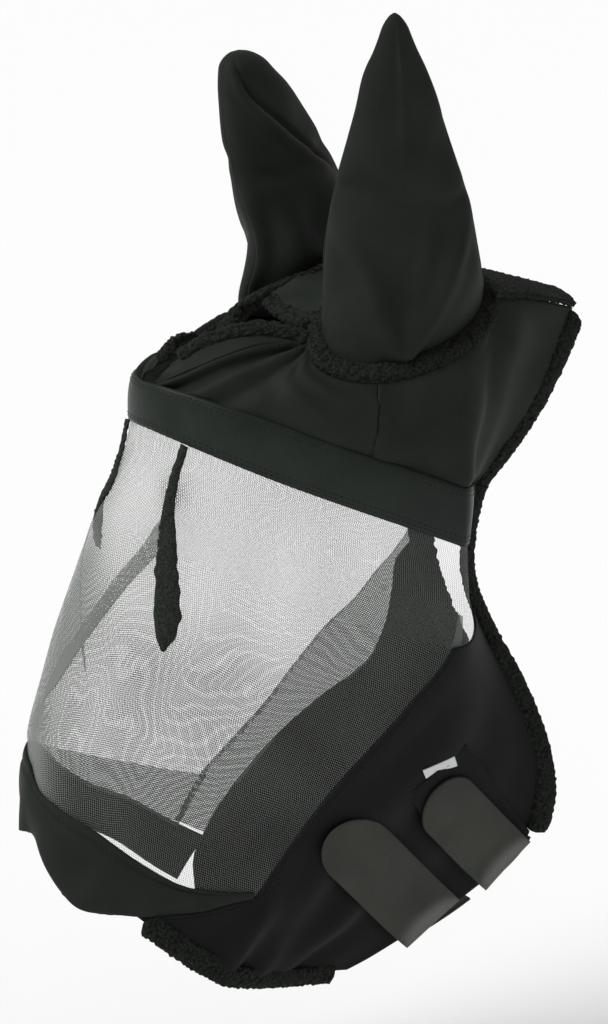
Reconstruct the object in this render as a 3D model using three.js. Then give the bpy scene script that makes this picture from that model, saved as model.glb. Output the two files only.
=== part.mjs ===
// Fly mask for a full-size horse, worn shape, fastened under the jaw.
// Millimetres, +Z up, +X the horse's left, -Y the way the horse faces.
// The origin is the seat on the poll, behind the ears, where the mask hangs on the head.
import * as THREE from 'three';

// Driving dimensions, mm
const FACE_LEAN = THREE.MathUtils.degToRad(28); // the face line leans this far off upright
const CLOTH = 1.6;           // stretch fabric panel
const MESH = 1.2;            // fly mesh
const BAND = 2.4;            // padded elastic of the browband
const HALF_GAP = 0.3;        // half the gap kept along a sewn seam
const LAYER_GAP = 0.4;       // gap kept between two layers sewn face to face
const FLEECE_WIDTH = 15;     // fleece binding, flat width
const FLEECE_THICK = 6.4;    // fleece binding, through the pile
const RING_WIDTH = 13;       // fleece ring round each ear
const TAPE_THICK = 1.4;      // hook and loop closing tape
const HOOK_THICK = 1.0;
const EAR_HEIGHT = 198;      // from the ring's middle to the tip
const FOLDED_EAR = 0.76;     // share of the right cover that stands, its tip is tucked over

// Head outline down the face. Each key is [distance down the face line, value].
const FRONT_R = [[110, -222], [137, -221], [160, -212], [250, -206], [330, -195], [367, -184],
  [419, -160], [440, -152]];
const SIDE_R = [[110, -45], [140, -30], [175, -8], [204, 4], [250, -5], [320, -27], [386, -38],
  [440, -42]];
const SIDE_X = [[110, 88], [140, 88], [204, 80], [250, 76], [320, 70], [386, 63], [440, 58]];
const EDGE_R = [[110, -6], [140, 6], [170, 26], [188, 47], [215, 84], [247, 118], [270, 134],
  [293, 142], [338, 129], [390, 90], [425, 58], [440, 43]];
const EDGE_X = [[110, 40], [140, 34], [170, 31], [215, 35], [262, 37], [293, 31], [340, 25],
  [390, 25], [440, 23]];

// Seams across the head. Each key is [way round from the face, distance down the face line].
const BROW_TOP = [[0, 137], [0.5, 127], [1, 116], [2, 111]];
const BROW_LOW = [[0, 161], [0.5, 158], [1, 148], [2, 139]];
const NOSE_TOP = [[0, 371], [0.06, 373], [0.3, 392], [0.5, 401], [0.75, 404], [0.9, 400], [1, 391]];
const NOSE_LOW = [[0, 421], [0.05, 423], [0.25, 440], [0.45, 446], [0.63, 433], [0.8, 414],
  [1, 393]];
const HEM_LOW = [[0.63, 434], [0.75, 438], [1, 443], [1.4, 442], [1.8, 435], [2, 426]];
const CHEEK_TOP = 178;       // where the cheek seam leaves the rear edge
const CHEEK_FRONT = 206;     // where it reaches the side line
const NOSE_CORNER = 391;     // where mesh, cheek and noseband meet
const CHEEK_CORNER = 421.5;  // where the cheek meets noseband and chin hem
const CHIN_FRONT = 0.63;     // way round where the noseband hands over to the chin hem
const JOWL = 290;            // rear binding ends here

// Smooth curve through keys, with slopes averaged at each key.
function curve(keys, u) {
  const last = keys.length - 1;
  let i = 0;
  while (i < last - 1 && u > keys[i + 1][0]) i += 1;
  const slope = (j) => (keys[j + 1][1] - keys[j][1]) / (keys[j + 1][0] - keys[j][0]);
  const tangent = (j) => {
    if (j === 0) return slope(0);
    if (j === last) return slope(last - 1);
    const before = keys[j][0] - keys[j - 1][0];
    const after = keys[j + 1][0] - keys[j][0];
    return (slope(j - 1) * after + slope(j) * before) / (before + after);
  };
  const h = keys[i + 1][0] - keys[i][0];
  const s = (u - keys[i][0]) / h;
  return (1 + 2 * s) * (1 - s) ** 2 * keys[i][1] + s * (1 - s) ** 2 * h * tangent(i)
    + s * s * (3 - 2 * s) * keys[i + 1][1] + s * s * (s - 1) * h * tangent(i + 1);
}

const bezier = (a, b, c, d, t) => (1 - t) ** 3 * a + 3 * (1 - t) ** 2 * t * b
  + 3 * (1 - t) * t * t * c + t ** 3 * d;

// A point from its side distance x, its distance q down the face line and r back from it.
function faceFrame(x, q, r) {
  const sin = Math.sin(FACE_LEAN);
  const cos = Math.cos(FACE_LEAN);
  return new THREE.Vector3(x, -sin * q + cos * r, -cos * q - sin * r);
}

// The head surface: q down the face, way 0 at the face, 1 at the side, 2 at the rear edge,
// and negative on the right.
function head(q, way) {
  const t = Math.abs(way);
  const sideR = curve(SIDE_R, q);
  const sideX = curve(SIDE_X, q);
  let x;
  let r;
  if (t <= 1) {
    const frontR = curve(FRONT_R, q);
    x = bezier(0, 0.62 * sideX, 1.02 * sideX, sideX, t);
    r = bezier(frontR, frontR, (frontR + sideR) / 2, sideR, t);
  } else {
    const edgeR = curve(EDGE_R, q);
    const edgeX = curve(EDGE_X, q);
    const deep = edgeR - sideR;
    x = bezier(sideX, 0.99 * sideX, 0.15 * sideX + 0.85 * edgeX, edgeX, t - 1);
    r = bezier(sideR, sideR + 0.33 * deep, edgeR - 0.33 * deep, edgeR, t - 1);
  }
  return faceFrame(Math.sign(way) * x, q, r);
}

// The way round at which the cheek lies a distance r back from the face line.
function wayAt(q, r) {
  const sideR = curve(SIDE_R, q);
  const edgeR = curve(EDGE_R, q);
  const deep = edgeR - sideR;
  let low = 0;
  let high = 1;
  for (let step = 0; step < 24; step += 1) {
    const mid = (low + high) / 2;
    if (bezier(sideR, sideR + 0.33 * deep, edgeR - 0.33 * deep, edgeR, mid) < r) low = mid;
    else high = mid;
  }
  return 1 + (low + high) / 2;
}

// A closed body from rings of points; each row is joined to the next, and both ends are capped.
function loft(rows, closed) {
  const sides = rows[0].length;
  const positions = rows.flatMap((row) => row.flatMap((point) => point.toArray()));
  const index = [];
  const at = (row, side) => (row % rows.length) * sides + (side % sides);
  const last = closed ? rows.length : rows.length - 1;
  for (let row = 0; row < last; row += 1) {
    for (let side = 0; side < sides; side += 1) {
      index.push(at(row, side), at(row, side + 1), at(row + 1, side + 1));
      index.push(at(row, side), at(row + 1, side + 1), at(row + 1, side));
    }
  }
  for (let side = 1; side < sides - 1 && !closed; side += 1) {
    index.push(at(0, 0), at(0, side + 1), at(0, side));
    index.push(at(rows.length - 1, 0), at(rows.length - 1, side), at(rows.length - 1, side + 1));
  }
  return facingOut(positions, index);
}

// The signed volume of a closed mesh tells which way its faces point.
function facingOut(positions, index) {
  const corner = (i) => new THREE.Vector3().fromArray(positions, 3 * index[i]);
  let volume = 0;
  for (let i = 0; i < index.length; i += 3) {
    volume += corner(i).dot(corner(i + 1).cross(corner(i + 2)));
  }
  const faces = index.slice();
  for (let i = 0; i < faces.length && volume < 0; i += 3) {
    [faces[i + 1], faces[i + 2]] = [faces[i + 2], faces[i + 1]];
  }
  const geometry = new THREE.BufferGeometry();
  geometry.setAttribute('position', new THREE.Float32BufferAttribute(positions, 3));
  geometry.setIndex(faces);
  geometry.computeVertexNormals();
  return geometry;
}

// A sheet of cloth over point(u, v), from inner to outer along its normal.
function sheet(point, normal, us, vs, inner, outer) {
  const rows = us.length;
  const columns = vs.length;
  const layer = (offset) => us.flatMap((u) => vs.flatMap((v) => (
    point(u, v).addScaledVector(normal(u, v), offset).toArray())));
  const positions = [...layer(inner), ...layer(outer)];
  const top = rows * columns;
  const at = (row, column) => row * columns + column;
  const index = [];
  const quad = (a, b, c, d) => index.push(a, b, c, a, c, d);
  for (let i = 0; i < rows - 1; i += 1) {
    for (let j = 0; j < columns - 1; j += 1) {
      quad(at(i, j), at(i, j + 1), at(i + 1, j + 1), at(i + 1, j));
      quad(top + at(i, j), top + at(i + 1, j), top + at(i + 1, j + 1), top + at(i, j + 1));
    }
  }
  for (let j = 0; j < columns - 1; j += 1) {
    const far = rows - 1;
    quad(at(0, j + 1), at(0, j), top + at(0, j), top + at(0, j + 1));
    quad(at(far, j), at(far, j + 1), top + at(far, j + 1), top + at(far, j));
  }
  for (let i = 0; i < rows - 1; i += 1) {
    const far = columns - 1;
    quad(at(i, 0), at(i + 1, 0), top + at(i + 1, 0), top + at(i, 0));
    quad(at(i + 1, far), at(i, far), top + at(i, far), top + at(i + 1, far));
  }
  return facingOut(positions, index);
}

// Evenly spaced numbers from a to b.
const steps = (a, b, count) => Array.from({ length: count + 1 }, (_, i) => a + (b - a) * i / count);

// Normal of any surface by small differences; side is 1 or -1 to point it outwards.
function normalOf(point, side) {
  const e = 1e-3;
  return (u, v) => {
    const du = point(u + e, v).sub(point(u - e, v));
    const dv = point(u, v + e).sub(point(u, v - e));
    return du.cross(dv).normalize().multiplyScalar(side);
  };
}

const headNormal = normalOf(head, 1);

// Cloth lying on the head surface; map(u, v) gives [q, way].
function onHead(map, us, vs, inner, outer) {
  return sheet((u, v) => head(...map(u, v)), (u, v) => headNormal(...map(u, v)), us, vs, inner,
    outer);
}

// A flattened fleece tube along frames { p, b, n }: b lies in the cloth, n points out of it.
function fleece(frames, width, thick, closed) {
  const sides = 8;
  const rows = frames.map((frame) => Array.from({ length: sides }, (_, i) => {
    const turn = 2 * Math.PI * i / sides;
    return frame.p.clone()
      .addScaledVector(frame.b, (frame.width ?? width) / 2 * Math.cos(turn))
      .addScaledVector(frame.n, thick / 2 * Math.sin(turn));
  }));
  return loft(rows, closed);
}

// Mirror a geometry to the other side of the head.
function mirrored(geometry) {
  const positions = Array.from(geometry.attributes.position.array, (value, i) => (
    i % 3 === 0 ? -value : value));
  return facingOut(positions, Array.from(geometry.index.array));
}

// Cloth and trim finishes
const finish = (color, roughness) => new THREE.MeshStandardMaterial({ color, roughness });
const LYCRA = finish(0x26292a, 0.75);
const NET = finish(0x6f7370, 0.6);
const FLEECE = finish(0x1f221f, 1.0);
const SATIN = finish(0x2b3031, 0.5);
const TAPE = finish(0x3b3b37, 0.8);
const PLASTIC_HOOKS = finish(0x2d2d2a, 0.5);
const WOVEN = finish(0xd8dad9, 0.7);

const mask = new THREE.Group();

function add(name, geometry, material) {
  const mesh = new THREE.Mesh(geometry, material);
  mesh.name = name;
  mask.add(mesh);
}

function addPair(name, geometry, material) {
  add(`${name}_left`, geometry, material);
  add(`${name}_right`, mirrored(geometry), material);
}

// Face mesh: from the browband to the noseband, and back to the cheek seams on both sides.
// Its side edge follows the rear binding at the top, then comes forward to the side line.
function meshEdge(q) {
  if (q < CHEEK_TOP) return 2;
  if (q < CHEEK_FRONT) return 2 - (q - CHEEK_TOP) / (CHEEK_FRONT - CHEEK_TOP);
  return 1;
}
const SEAM_ROWS = [182, 188, 194, 200, 206, 225, 245, 265, 285, 305, 325, 345, 365, 380, 390.7];
const MESH_TOP = 139.3;
const MESH_BOTTOM = NOSE_CORNER - HALF_GAP;
function meshMap(edgeQ, side) {
  const reach = meshEdge(edgeQ) - 0.006;
  const s = (edgeQ - MESH_TOP) / (MESH_BOTTOM - MESH_TOP);
  const level = (way) => THREE.MathUtils.lerp(curve(BROW_LOW, way) + HALF_GAP,
    curve(NOSE_TOP, Math.min(way, 1)) - HALF_GAP, s);
  const lag = edgeQ - level(reach);
  return [level(Math.abs(side) * reach) + lag * Math.abs(side) ** 3, side * reach];
}
add('face_mesh', onHead(meshMap, [MESH_TOP, 152, 165, 177.9, ...SEAM_ROWS], steps(-1, 1, 24), 0,
  MESH), NET);

// Browband: one padded elastic band right round to both rear bindings.
const browMap = (s, way) => [THREE.MathUtils.lerp(curve(BROW_TOP, Math.abs(way)) + HALF_GAP,
  curve(BROW_LOW, Math.abs(way)) - HALF_GAP, s), way];
add('browband', onHead(browMap, steps(0, 1, 2), steps(-1.99, 1.99, 32), 0, BAND), SATIN);

// Noseband: a crescent of doubled stretch fabric, with a fleece lining inside its front.
const noseMap = (s, way) => [THREE.MathUtils.lerp(curve(NOSE_TOP, Math.abs(way)) + HALF_GAP,
  curve(NOSE_LOW, Math.abs(way)) - HALF_GAP, s), way];
add('noseband', onHead(noseMap, steps(0, 1, 4), steps(-0.985, 0.985, 26), 0, 3), LYCRA);
const liningMap = (s, way) => noseMap(0.3 + 0.66 * s, way);
add('nose_lining', onHead(liningMap, steps(0, 1, 3), steps(-0.6, 0.6, 14), -LAYER_GAP - 4,
  -LAYER_GAP), FLEECE);

// Cheek panels: from the cheek seam back to the rear edge and down to the chin hem.
// The front edge runs down the side line, then along the noseband's lower seam.
function noseLowWay(q) {
  let low = CHIN_FRONT;
  let high = 1;
  for (let step = 0; step < 24; step += 1) {
    const mid = (low + high) / 2;
    if (curve(NOSE_LOW, mid) > q) low = mid;
    else high = mid;
  }
  return low;
}
function cheekEdge(q) {
  if (q < CHEEK_FRONT) return meshEdge(q);
  return q < NOSE_CORNER ? 1 : Math.min(1, noseLowWay(q));
}
const hemTop = (way) => curve(HEM_LOW, way) - FLEECE_WIDTH - HALF_GAP;
function cheekMap(edgeQ, c) {
  const top = SEAM_ROWS[0];
  const s = (edgeQ - top) / (CHEEK_CORNER - top);
  const frontWay = Math.min(cheekEdge(edgeQ) + 0.008, 1.94);
  const way = THREE.MathUtils.lerp(frontWay, 1.995, c);
  const lag = edgeQ - THREE.MathUtils.lerp(top, hemTop(frontWay), s);
  return [THREE.MathUtils.lerp(top, hemTop(way), s) + lag * (1 - c) ** 3, way];
}
addPair('cheek_panel', onHead(cheekMap, [...SEAM_ROWS, 397, 403, 409, 415, CHEEK_CORNER],
  steps(0, 1, 12), 0, CLOTH), LYCRA);

// Frames along any edge of the head surface; a binding lies beyond it, along the way given.
function edgeFrame(q, way, acrossQ, acrossWay) {
  const p = head(q, way);
  const step = 0.01;
  const b = head(q + acrossQ * step * 100, way + acrossWay * step).sub(p).normalize();
  return { p, b, n: headNormal(q, way) };
}
const beyond = (frame, distance, lift) => ({ ...frame, p: frame.p.clone()
  .addScaledVector(frame.b, distance).addScaledVector(frame.n, lift) });

// Chin hem: fleece along the lower edge of each cheek, from the noseband to the chin.
function hemFrame(way) {
  const width = Math.min(FLEECE_WIDTH, curve(HEM_LOW, way) - curve(NOSE_LOW, Math.min(way, 1)) - 1);
  const q = curve(HEM_LOW, way) - width;
  return { ...beyond(edgeFrame(q, way, 1, 0), width / 2 + HALF_GAP, CLOTH / 2), width };
}
const HEM_WAYS = [0.66, 0.69, 0.72, 0.76, ...steps(0.85, 1.97, 11)];
addPair('chin_hem', fleece(HEM_WAYS.map(hemFrame), FLEECE_WIDTH, FLEECE_THICK, false), FLEECE);

// Crown: stretch fabric from the browband up to the ear rings, the forelock and the poll.
const RING_MIDDLE = new THREE.Vector3(47.5, -110, 13);
const RING_FRONT = new THREE.Vector3(0, -62, -6);     // from the middle to the ring's front
const RING_OUTER = new THREE.Vector3(27.5, -16, -25); // from the middle to its outer low point
const FORELOCK = [[11, -248, -12], [21, -229, 1], [33, -199, 9]];
const POLL_EDGE = [[38, -22, 17], [30, 2, 9], [19, 24, 1]];
const SIDE_SEAM = 0.75;      // way round of the seam below each ear

// The ear ring, turned from its front (0) through its outer low point to its rear (pi).
function ring(turn, grow) {
  const length = (axis) => (axis.length() + grow) / axis.length();
  return RING_MIDDLE.clone()
    .addScaledVector(RING_FRONT, length(RING_FRONT) * Math.cos(turn))
    .addScaledVector(RING_OUTER, length(RING_OUTER) * Math.sin(turn));
}
const RING_GROW = RING_WIDTH / 2 + 3; // the crown panels stop here

const vector = (numbers) => new THREE.Vector3(...numbers);
const ringArc = (from, to, count) => steps(from, to, count).map((turn) => ring(turn, RING_GROW));
const frontTop = new THREE.CatmullRomCurve3([...FORELOCK.map(vector),
  ...ringArc(0, Math.PI / 2, 4)]);
const rearTop = new THREE.CatmullRomCurve3([...ringArc(Math.PI / 2, Math.PI, 4),
  ...POLL_EDGE.map(vector)]);

// Each crown panel is ruled from the browband to its top edge and bowed outwards between.
function crown(from, to, top, bowFrom, bowTo) {
  return (u, v) => {
    const way = THREE.MathUtils.lerp(from, to, u);
    const low = head(curve(BROW_TOP, way) - HALF_GAP, way);
    const bow = 4 * v * (1 - v) * THREE.MathUtils.lerp(bowFrom, bowTo, u);
    return low.lerp(top.getPoint(THREE.MathUtils.clamp(u, 0, 1)), v)
      .add(new THREE.Vector3(bow, -0.25 * bow, 0));
  };
}
const crownFront = crown(0.03, SIDE_SEAM - 0.004, frontTop, 3, 9);
const crownRear = crown(SIDE_SEAM + 0.004, 1.985, rearTop, 9, 17);
const inside = (point) => (u, v) => point(THREE.MathUtils.clamp(u, 0.002, 0.998), v);
addPair('crown_front', sheet(crownFront, normalOf(inside(crownFront), -1), steps(0, 1, 12),
  steps(0, 1, 6), 0, CLOTH), LYCRA);
addPair('crown_rear', sheet(crownRear, normalOf(inside(crownRear), -1), steps(0, 1, 12),
  steps(0, 1, 8), 0, CLOTH), LYCRA);

// Frames with their side directions eased along the path, and square to it.
function eased(frames) {
  let sides = frames.map((frame) => frame.b);
  for (let pass = 0; pass < 4; pass += 1) {
    const now = sides;
    sides = now.map((b, i) => b.clone().multiplyScalar(2).add(now[Math.max(i - 1, 0)])
      .add(now[Math.min(i + 1, now.length - 1)]).normalize());
  }
  return frames.map(({ p, n }, i) => {
    const along = frames[Math.min(i + 1, frames.length - 1)].p.clone()
      .sub(frames[Math.max(i - 1, 0)].p).normalize();
    const b = sides[i].clone().addScaledVector(along, -along.dot(sides[i])).normalize();
    const square = along.cross(b);
    return { p, b, n: square.multiplyScalar(Math.sign(square.dot(n))) };
  });
}

// Poll and rear bindings: fleece down the rear edge of the crown, then of browband, mesh and
// cheek.
function crownEdgeFrame(v) {
  const p = crownRear(1, v);
  const b = p.clone().sub(crownRear(0.97, v)).normalize();
  return { p, b, n: normalOf(crownRear, -1)(0.97, v) };
}
const rim = (name, frames) => addPair(name, fleece(eased(frames).map((frame) => (
  beyond(frame, FLEECE_WIDTH / 2 + 0.6, CLOTH / 2))), FLEECE_WIDTH, FLEECE_THICK, false), FLEECE);
rim('poll_binding', steps(0.93, 0.08, 9).map(crownEdgeFrame));
rim('rear_binding', [116, 128, 141, 154, 166, 177, 188, 200, 213, 227, 241, 255, 268, 280, JOWL]
  .map((q) => edgeFrame(q, 2, 0, 0.01)));

// Forelock bindings: fleece round the opening between the ears, above the browband.
const forelockFrames = steps(0.03, 0.36, 6).map((u) => {
  const p = crownFront(u, 1);
  const b = p.clone().sub(crownFront(u, 0.9)).normalize();
  return beyond({ p, b, n: normalOf(inside(crownFront), -1)(u, 0.98) }, 6.8, CLOTH / 2);
});
addPair('forelock_binding', fleece(forelockFrames, 12, 6, false), FLEECE);

// Ear rings: a fleece ring sewn round the hole for each ear.
const ringAxis = RING_OUTER.clone().cross(RING_FRONT).normalize();
const ringFrames = steps(0, 2 * Math.PI, 28).slice(0, -1).map((turn) => {
  const p = ring(turn, 0);
  return { p, b: p.clone().sub(RING_MIDDLE).normalize(), n: ringAxis };
});
addPair('ear_ring', fleece(ringFrames, RING_WIDTH, 8, true), FLEECE);

// Ear covers: a front and a back panel each, gathered into the ring and seamed up both edges.
const EAR_LEAN = new THREE.Vector3(20, -18, 200);
const FOLDED_LEAN = new THREE.Vector3(34, -52, 200); // the right cover leans out and forward
const EAR_ACROSS = new THREE.Vector3(0.35, 0.94, 0).normalize();
const EAR_DEEP = new THREE.Vector3(0.94, -0.35, 0).normalize();
const EAR_HALF_WIDTH = [[0, 52], [0.1, 47], [0.2, 45.5], [0.38, 41], [0.53, 33.5], [0.7, 24],
  [0.81, 18], [0.9, 11], [1, 4]];
const EAR_HALF_DEPTH = [[0, 30], [0.25, 20], [0.6, 13], [1, 3]];
function earPoint(turn, v, lean) {
  const base = ring(turn, -10.5);
  const rise = v * EAR_HEIGHT / 200;
  const upper = RING_MIDDLE.clone().addScaledVector(lean, rise)
    .addScaledVector(EAR_ACROSS, -curve(EAR_HALF_WIDTH, v) * Math.cos(turn))
    .addScaledVector(EAR_DEEP, curve(EAR_HALF_DEPTH, v) * Math.sin(turn));
  const share = THREE.MathUtils.smoothstep(v, 0, 0.22);
  return base.addScaledVector(lean, rise * (1 - 0.4 * share)).lerp(upper, share);
}
const EAR_LEVELS = [0, 0.05, 0.1, 0.16, 0.22, 0.3, 0.4, 0.5, 0.6, 0.7, 0.8, 0.9, 0.97];
function earPanel(from, to, share, lean) {
  const point = (turn, v) => earPoint(turn, v * share, lean);
  return sheet(point, normalOf(point, -1), steps(from, to, 10), EAR_LEVELS, 0, 1.2);
}
const FRONT_HALF = [0.02, Math.PI - 0.02];
const BACK_HALF = [Math.PI + 0.02, 2 * Math.PI - 0.02];
add('ear_front_left', earPanel(...FRONT_HALF, 1, EAR_LEAN), LYCRA);
add('ear_back_left', earPanel(...BACK_HALF, 1, EAR_LEAN), LYCRA);
add('ear_front_right', mirrored(earPanel(...FRONT_HALF, FOLDED_EAR, FOLDED_LEAN)), LYCRA);
add('ear_back_right', mirrored(earPanel(...BACK_HALF, FOLDED_EAR, FOLDED_LEAN)), LYCRA);

// Poll bridge: stretch fabric between the two ear rings, with fleece on its forelock edge.
const BRIDGE_RISE = 5;
function bridge(u, across) {
  const turn = THREE.MathUtils.lerp(-0.16 * Math.PI, -0.84 * Math.PI, u);
  const side = ring(turn, RING_GROW - 1);
  return new THREE.Vector3(side.x * across, side.y, side.z + BRIDGE_RISE * (1 - across * across));
}
add('poll_bridge', sheet(bridge, normalOf(bridge, 1), steps(0.02, 1, 8), steps(-1, 1, 8), 0,
  CLOTH), LYCRA);
const bridgeFrames = steps(-0.84, 0.84, 8).map((across) => {
  const p = bridge(0, across);
  const b = p.clone().sub(bridge(0.05, across)).normalize();
  return beyond({ p, b, n: normalOf(bridge, 1)(0.02, across) }, 4, CLOTH / 2);
});
add('bridge_binding', fleece(bridgeFrames, 11, 6, false), FLEECE);

// Poll pad: a fleece-lined saddle over the poll, between the two rear crown panels.
function poll(u, across) {
  const edge = new THREE.CatmullRomCurve3([new THREE.Vector3(27, -38, 30),
    new THREE.Vector3(22, -10, 20), new THREE.Vector3(11, 22, 6)]).getPoint(u);
  return new THREE.Vector3(edge.x * across, edge.y, edge.z + 4 * (1 - across * across));
}
add('poll_pad', sheet(poll, normalOf(inside(poll), 1), steps(0, 1, 6), steps(-1, 1, 8), 0, 5),
  FLEECE);

// Dart covers: a fleece leaf over the dart that gives the eyes room, on each side.
const DART_WAY = [[163, 0.232], [180, 0.226], [196, 0.242], [222, 0.298], [249, 0.366], [262, 0.39],
  [277, 0.415]];
const DART_HALF = [[163, 0.014], [180, 0.016], [200, 0.022], [222, 0.034], [249, 0.042], [262, 0.042],
  [270, 0.03], [277, 0.012]];
const dartMap = (q, across) => [q, curve(DART_WAY, q) + across * curve(DART_HALF, q)];
addPair('dart_cover', onHead(dartMap, steps(163, 277, 12), steps(-1, 1, 4), MESH + LAYER_GAP,
  MESH + LAYER_GAP + 3), FLEECE);

// Seam facings: doubled mesh sewn inside, along the cheek seam and the noseband seam.
const FACING_WAY = 0.2;
const FACING_LIFT = 2.8;     // its distance inside the mesh
const facingMap = (q, across) => [q, 0.985 - FACING_WAY * across
  - 0.08 * THREE.MathUtils.smoothstep(q, 320, 380) * across];
addPair('seam_facing', onHead(facingMap, steps(165, 384, 12), steps(0, 1, 5), -FACING_LIFT - 1,
  -FACING_LIFT), NET);

// A patch lying on the cheek: a corner and two sides, each as [q, r].
function cheekPatch(corner, along, across, inner, outer) {
  const map = (s, a) => {
    const q = corner[0] + along[0] * s + across[0] * a;
    return [q, wayAt(q, corner[1] + along[1] * s + across[1] * a)];
  };
  return onHead(map, steps(0, 1, 8), steps(0, 1, 8), inner, outer);
}

// Closing tabs: tape sewn to the right cheek, folded under the jaw and up over the left one.
// A fold runs from one corner to the other, both as [q, r] on the left rear edge.
const TABS = [
  { name: 'front', fold: [[386, 89], [346, 110]], along: [-29, -107] },
  { name: 'rear', fold: [[335, 127], [296, 139]], along: [-24, -86] },
];
const LOOP_PATCHES = {
  front: { corner: [353, 2], along: [27, 82], across: [-40, 21] },
  rear: { corner: [299, 26], along: [36, 92], across: [-42, 26] },
};
const PATCH_LIFT = CLOTH + LAYER_GAP;
const HOOK_LIFT = PATCH_LIFT + TAPE_THICK + LAYER_GAP;
const TAB_LIFT = HOOK_LIFT + HOOK_THICK + LAYER_GAP;
const roundEnd = (a) => 1 - 0.3 * (1 - Math.sqrt(1 - (2 * a - 1) ** 2 * 0.96));
function tabSheet(tab, from, to, margin, inner, outer) {
  const [start, end] = tab.fold;
  const map = (s, a) => {
    const side = margin + a * (1 - 2 * margin);
    const reach = from + (to * roundEnd(a) - from) * s;
    const q = start[0] + (end[0] - start[0]) * side + tab.along[0] * reach;
    const r = start[1] + (end[1] - start[1]) * side + tab.along[1] * reach;
    return [q, wayAt(q, r)];
  };
  return onHead(map, steps(0, 1, 8), steps(0, 1, 8), inner, outer);
}
TABS.forEach((tab) => {
  const { corner, along, across } = LOOP_PATCHES[tab.name];
  add(`loop_patch_${tab.name}`, cheekPatch(corner, along, across, PATCH_LIFT,
    PATCH_LIFT + TAPE_THICK), TAPE);
  add(`tab_${tab.name}_hooks`, tabSheet(tab, 0.3, 0.94, 0.05, HOOK_LIFT, HOOK_LIFT + HOOK_THICK),
    PLASTIC_HOOKS);
  add(`tab_${tab.name}`, tabSheet(tab, 0.04, 1, 0, TAB_LIFT, TAB_LIFT + TAPE_THICK), TAPE);
});

// Tab roots: the sewn end of each tab, from the right cheek across under the jaw to the fold.
const ROOT_LENGTH = 30;      // sewn length on the right cheek
const FOLD_OUT = 4.2;        // the root passes this far beyond the rear edges
function tabRoot(tab) {
  const point = (s, a) => {
    const q = THREE.MathUtils.lerp(tab.fold[0][0], tab.fold[1][0], a);
    const edge = head(q, 2);
    const back = faceFrame(0, 0, 1);
    if (s < 0.4) {
      const r = curve(EDGE_R, q) - ROOT_LENGTH * (1 - s / 0.4);
      const way = wayAt(q, r);
      const place = head(q, way).addScaledVector(headNormal(q, way), CLOTH + LAYER_GAP);
      return place.setX(-place.x);
    }
    const reach = (s - 0.4) / 0.6;
    const x = THREE.MathUtils.lerp(-edge.x - 1, edge.x + 1, reach);
    return edge.clone().setX(x).addScaledVector(back, FOLD_OUT * Math.sin(Math.PI * (0.12
      + 0.76 * reach)) + 1.2);
  };
  return sheet(point, normalOf(point, -1), [0, 0.13, 0.26, 0.39, 0.43, 0.5, 0.6, 0.7, 0.8, 0.9, 1],
    steps(0.01, 0.99, 4), 0, TAPE_THICK);
}
TABS.forEach((tab) => add(`tab_${tab.name}_root`, tabRoot(tab), TAPE));

// Care label: a blank woven loop sewn at the upper edge of the rear loop patch.
const LABEL = { corner: [287, 30.5], along: [-3, -7.5], across: [-17, 10.5] };
add('care_label', cheekPatch(LABEL.corner, LABEL.along, LABEL.across, PATCH_LIFT,
  PATCH_LIFT + 0.8), WOVEN);

export default mask;
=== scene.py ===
"""Fly mask for a full-size horse, made round the fixed frame, in metres.

Sections follow the way the mask is sewn: camera and light, face mesh, seam facings, browband,
noseband, cheeks, crown, poll, fleece bindings, ear covers, dart covers, loop patches, closing
tabs and care label. Shapes are worked out in millimetres on one head surface and turned to metres
when they become a mesh.
"""

import bpy
import numpy as np
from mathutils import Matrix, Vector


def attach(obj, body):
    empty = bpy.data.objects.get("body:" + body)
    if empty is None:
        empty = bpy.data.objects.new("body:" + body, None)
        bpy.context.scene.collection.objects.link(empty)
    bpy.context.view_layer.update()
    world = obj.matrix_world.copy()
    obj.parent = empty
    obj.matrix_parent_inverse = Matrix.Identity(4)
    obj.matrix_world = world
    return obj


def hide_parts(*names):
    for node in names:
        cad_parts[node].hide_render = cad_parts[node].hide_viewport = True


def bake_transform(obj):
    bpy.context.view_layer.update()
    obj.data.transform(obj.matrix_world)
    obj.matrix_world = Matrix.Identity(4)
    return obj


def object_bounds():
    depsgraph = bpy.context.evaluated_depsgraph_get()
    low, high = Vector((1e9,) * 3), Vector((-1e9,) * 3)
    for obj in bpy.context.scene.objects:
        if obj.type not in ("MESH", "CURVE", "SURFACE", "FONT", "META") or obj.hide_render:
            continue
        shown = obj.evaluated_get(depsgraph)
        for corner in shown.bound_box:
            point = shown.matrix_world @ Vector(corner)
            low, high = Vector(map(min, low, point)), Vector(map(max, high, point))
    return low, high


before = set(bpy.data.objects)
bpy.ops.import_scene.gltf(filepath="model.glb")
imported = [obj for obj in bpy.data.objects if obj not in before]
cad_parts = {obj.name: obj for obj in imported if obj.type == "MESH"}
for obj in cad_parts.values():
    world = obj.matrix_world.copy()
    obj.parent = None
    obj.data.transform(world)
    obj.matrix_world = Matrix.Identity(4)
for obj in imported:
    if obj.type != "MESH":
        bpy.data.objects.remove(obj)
CAD_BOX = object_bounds()

# --- Camera, light and floor -------------------------------------------------------------------
# A long lens from the horse's left front, a little above. Broad soft lights on a white sweep
# give the flat, even light of a tack catalogue.
VIEW_AZIMUTH = np.radians(62.0)
VIEW_HEIGHT = np.radians(15.0)
VIEW_DISTANCE = 4.0
VIEW_MIDDLE = np.array([0.0, -0.152, -0.111])
SEEN_HEIGHT = 0.6206
SENSOR = 36.0
PALE = "FCFCFC"
ROOM_LIGHT = 0.42
KEY_POWER = 2.5


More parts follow.
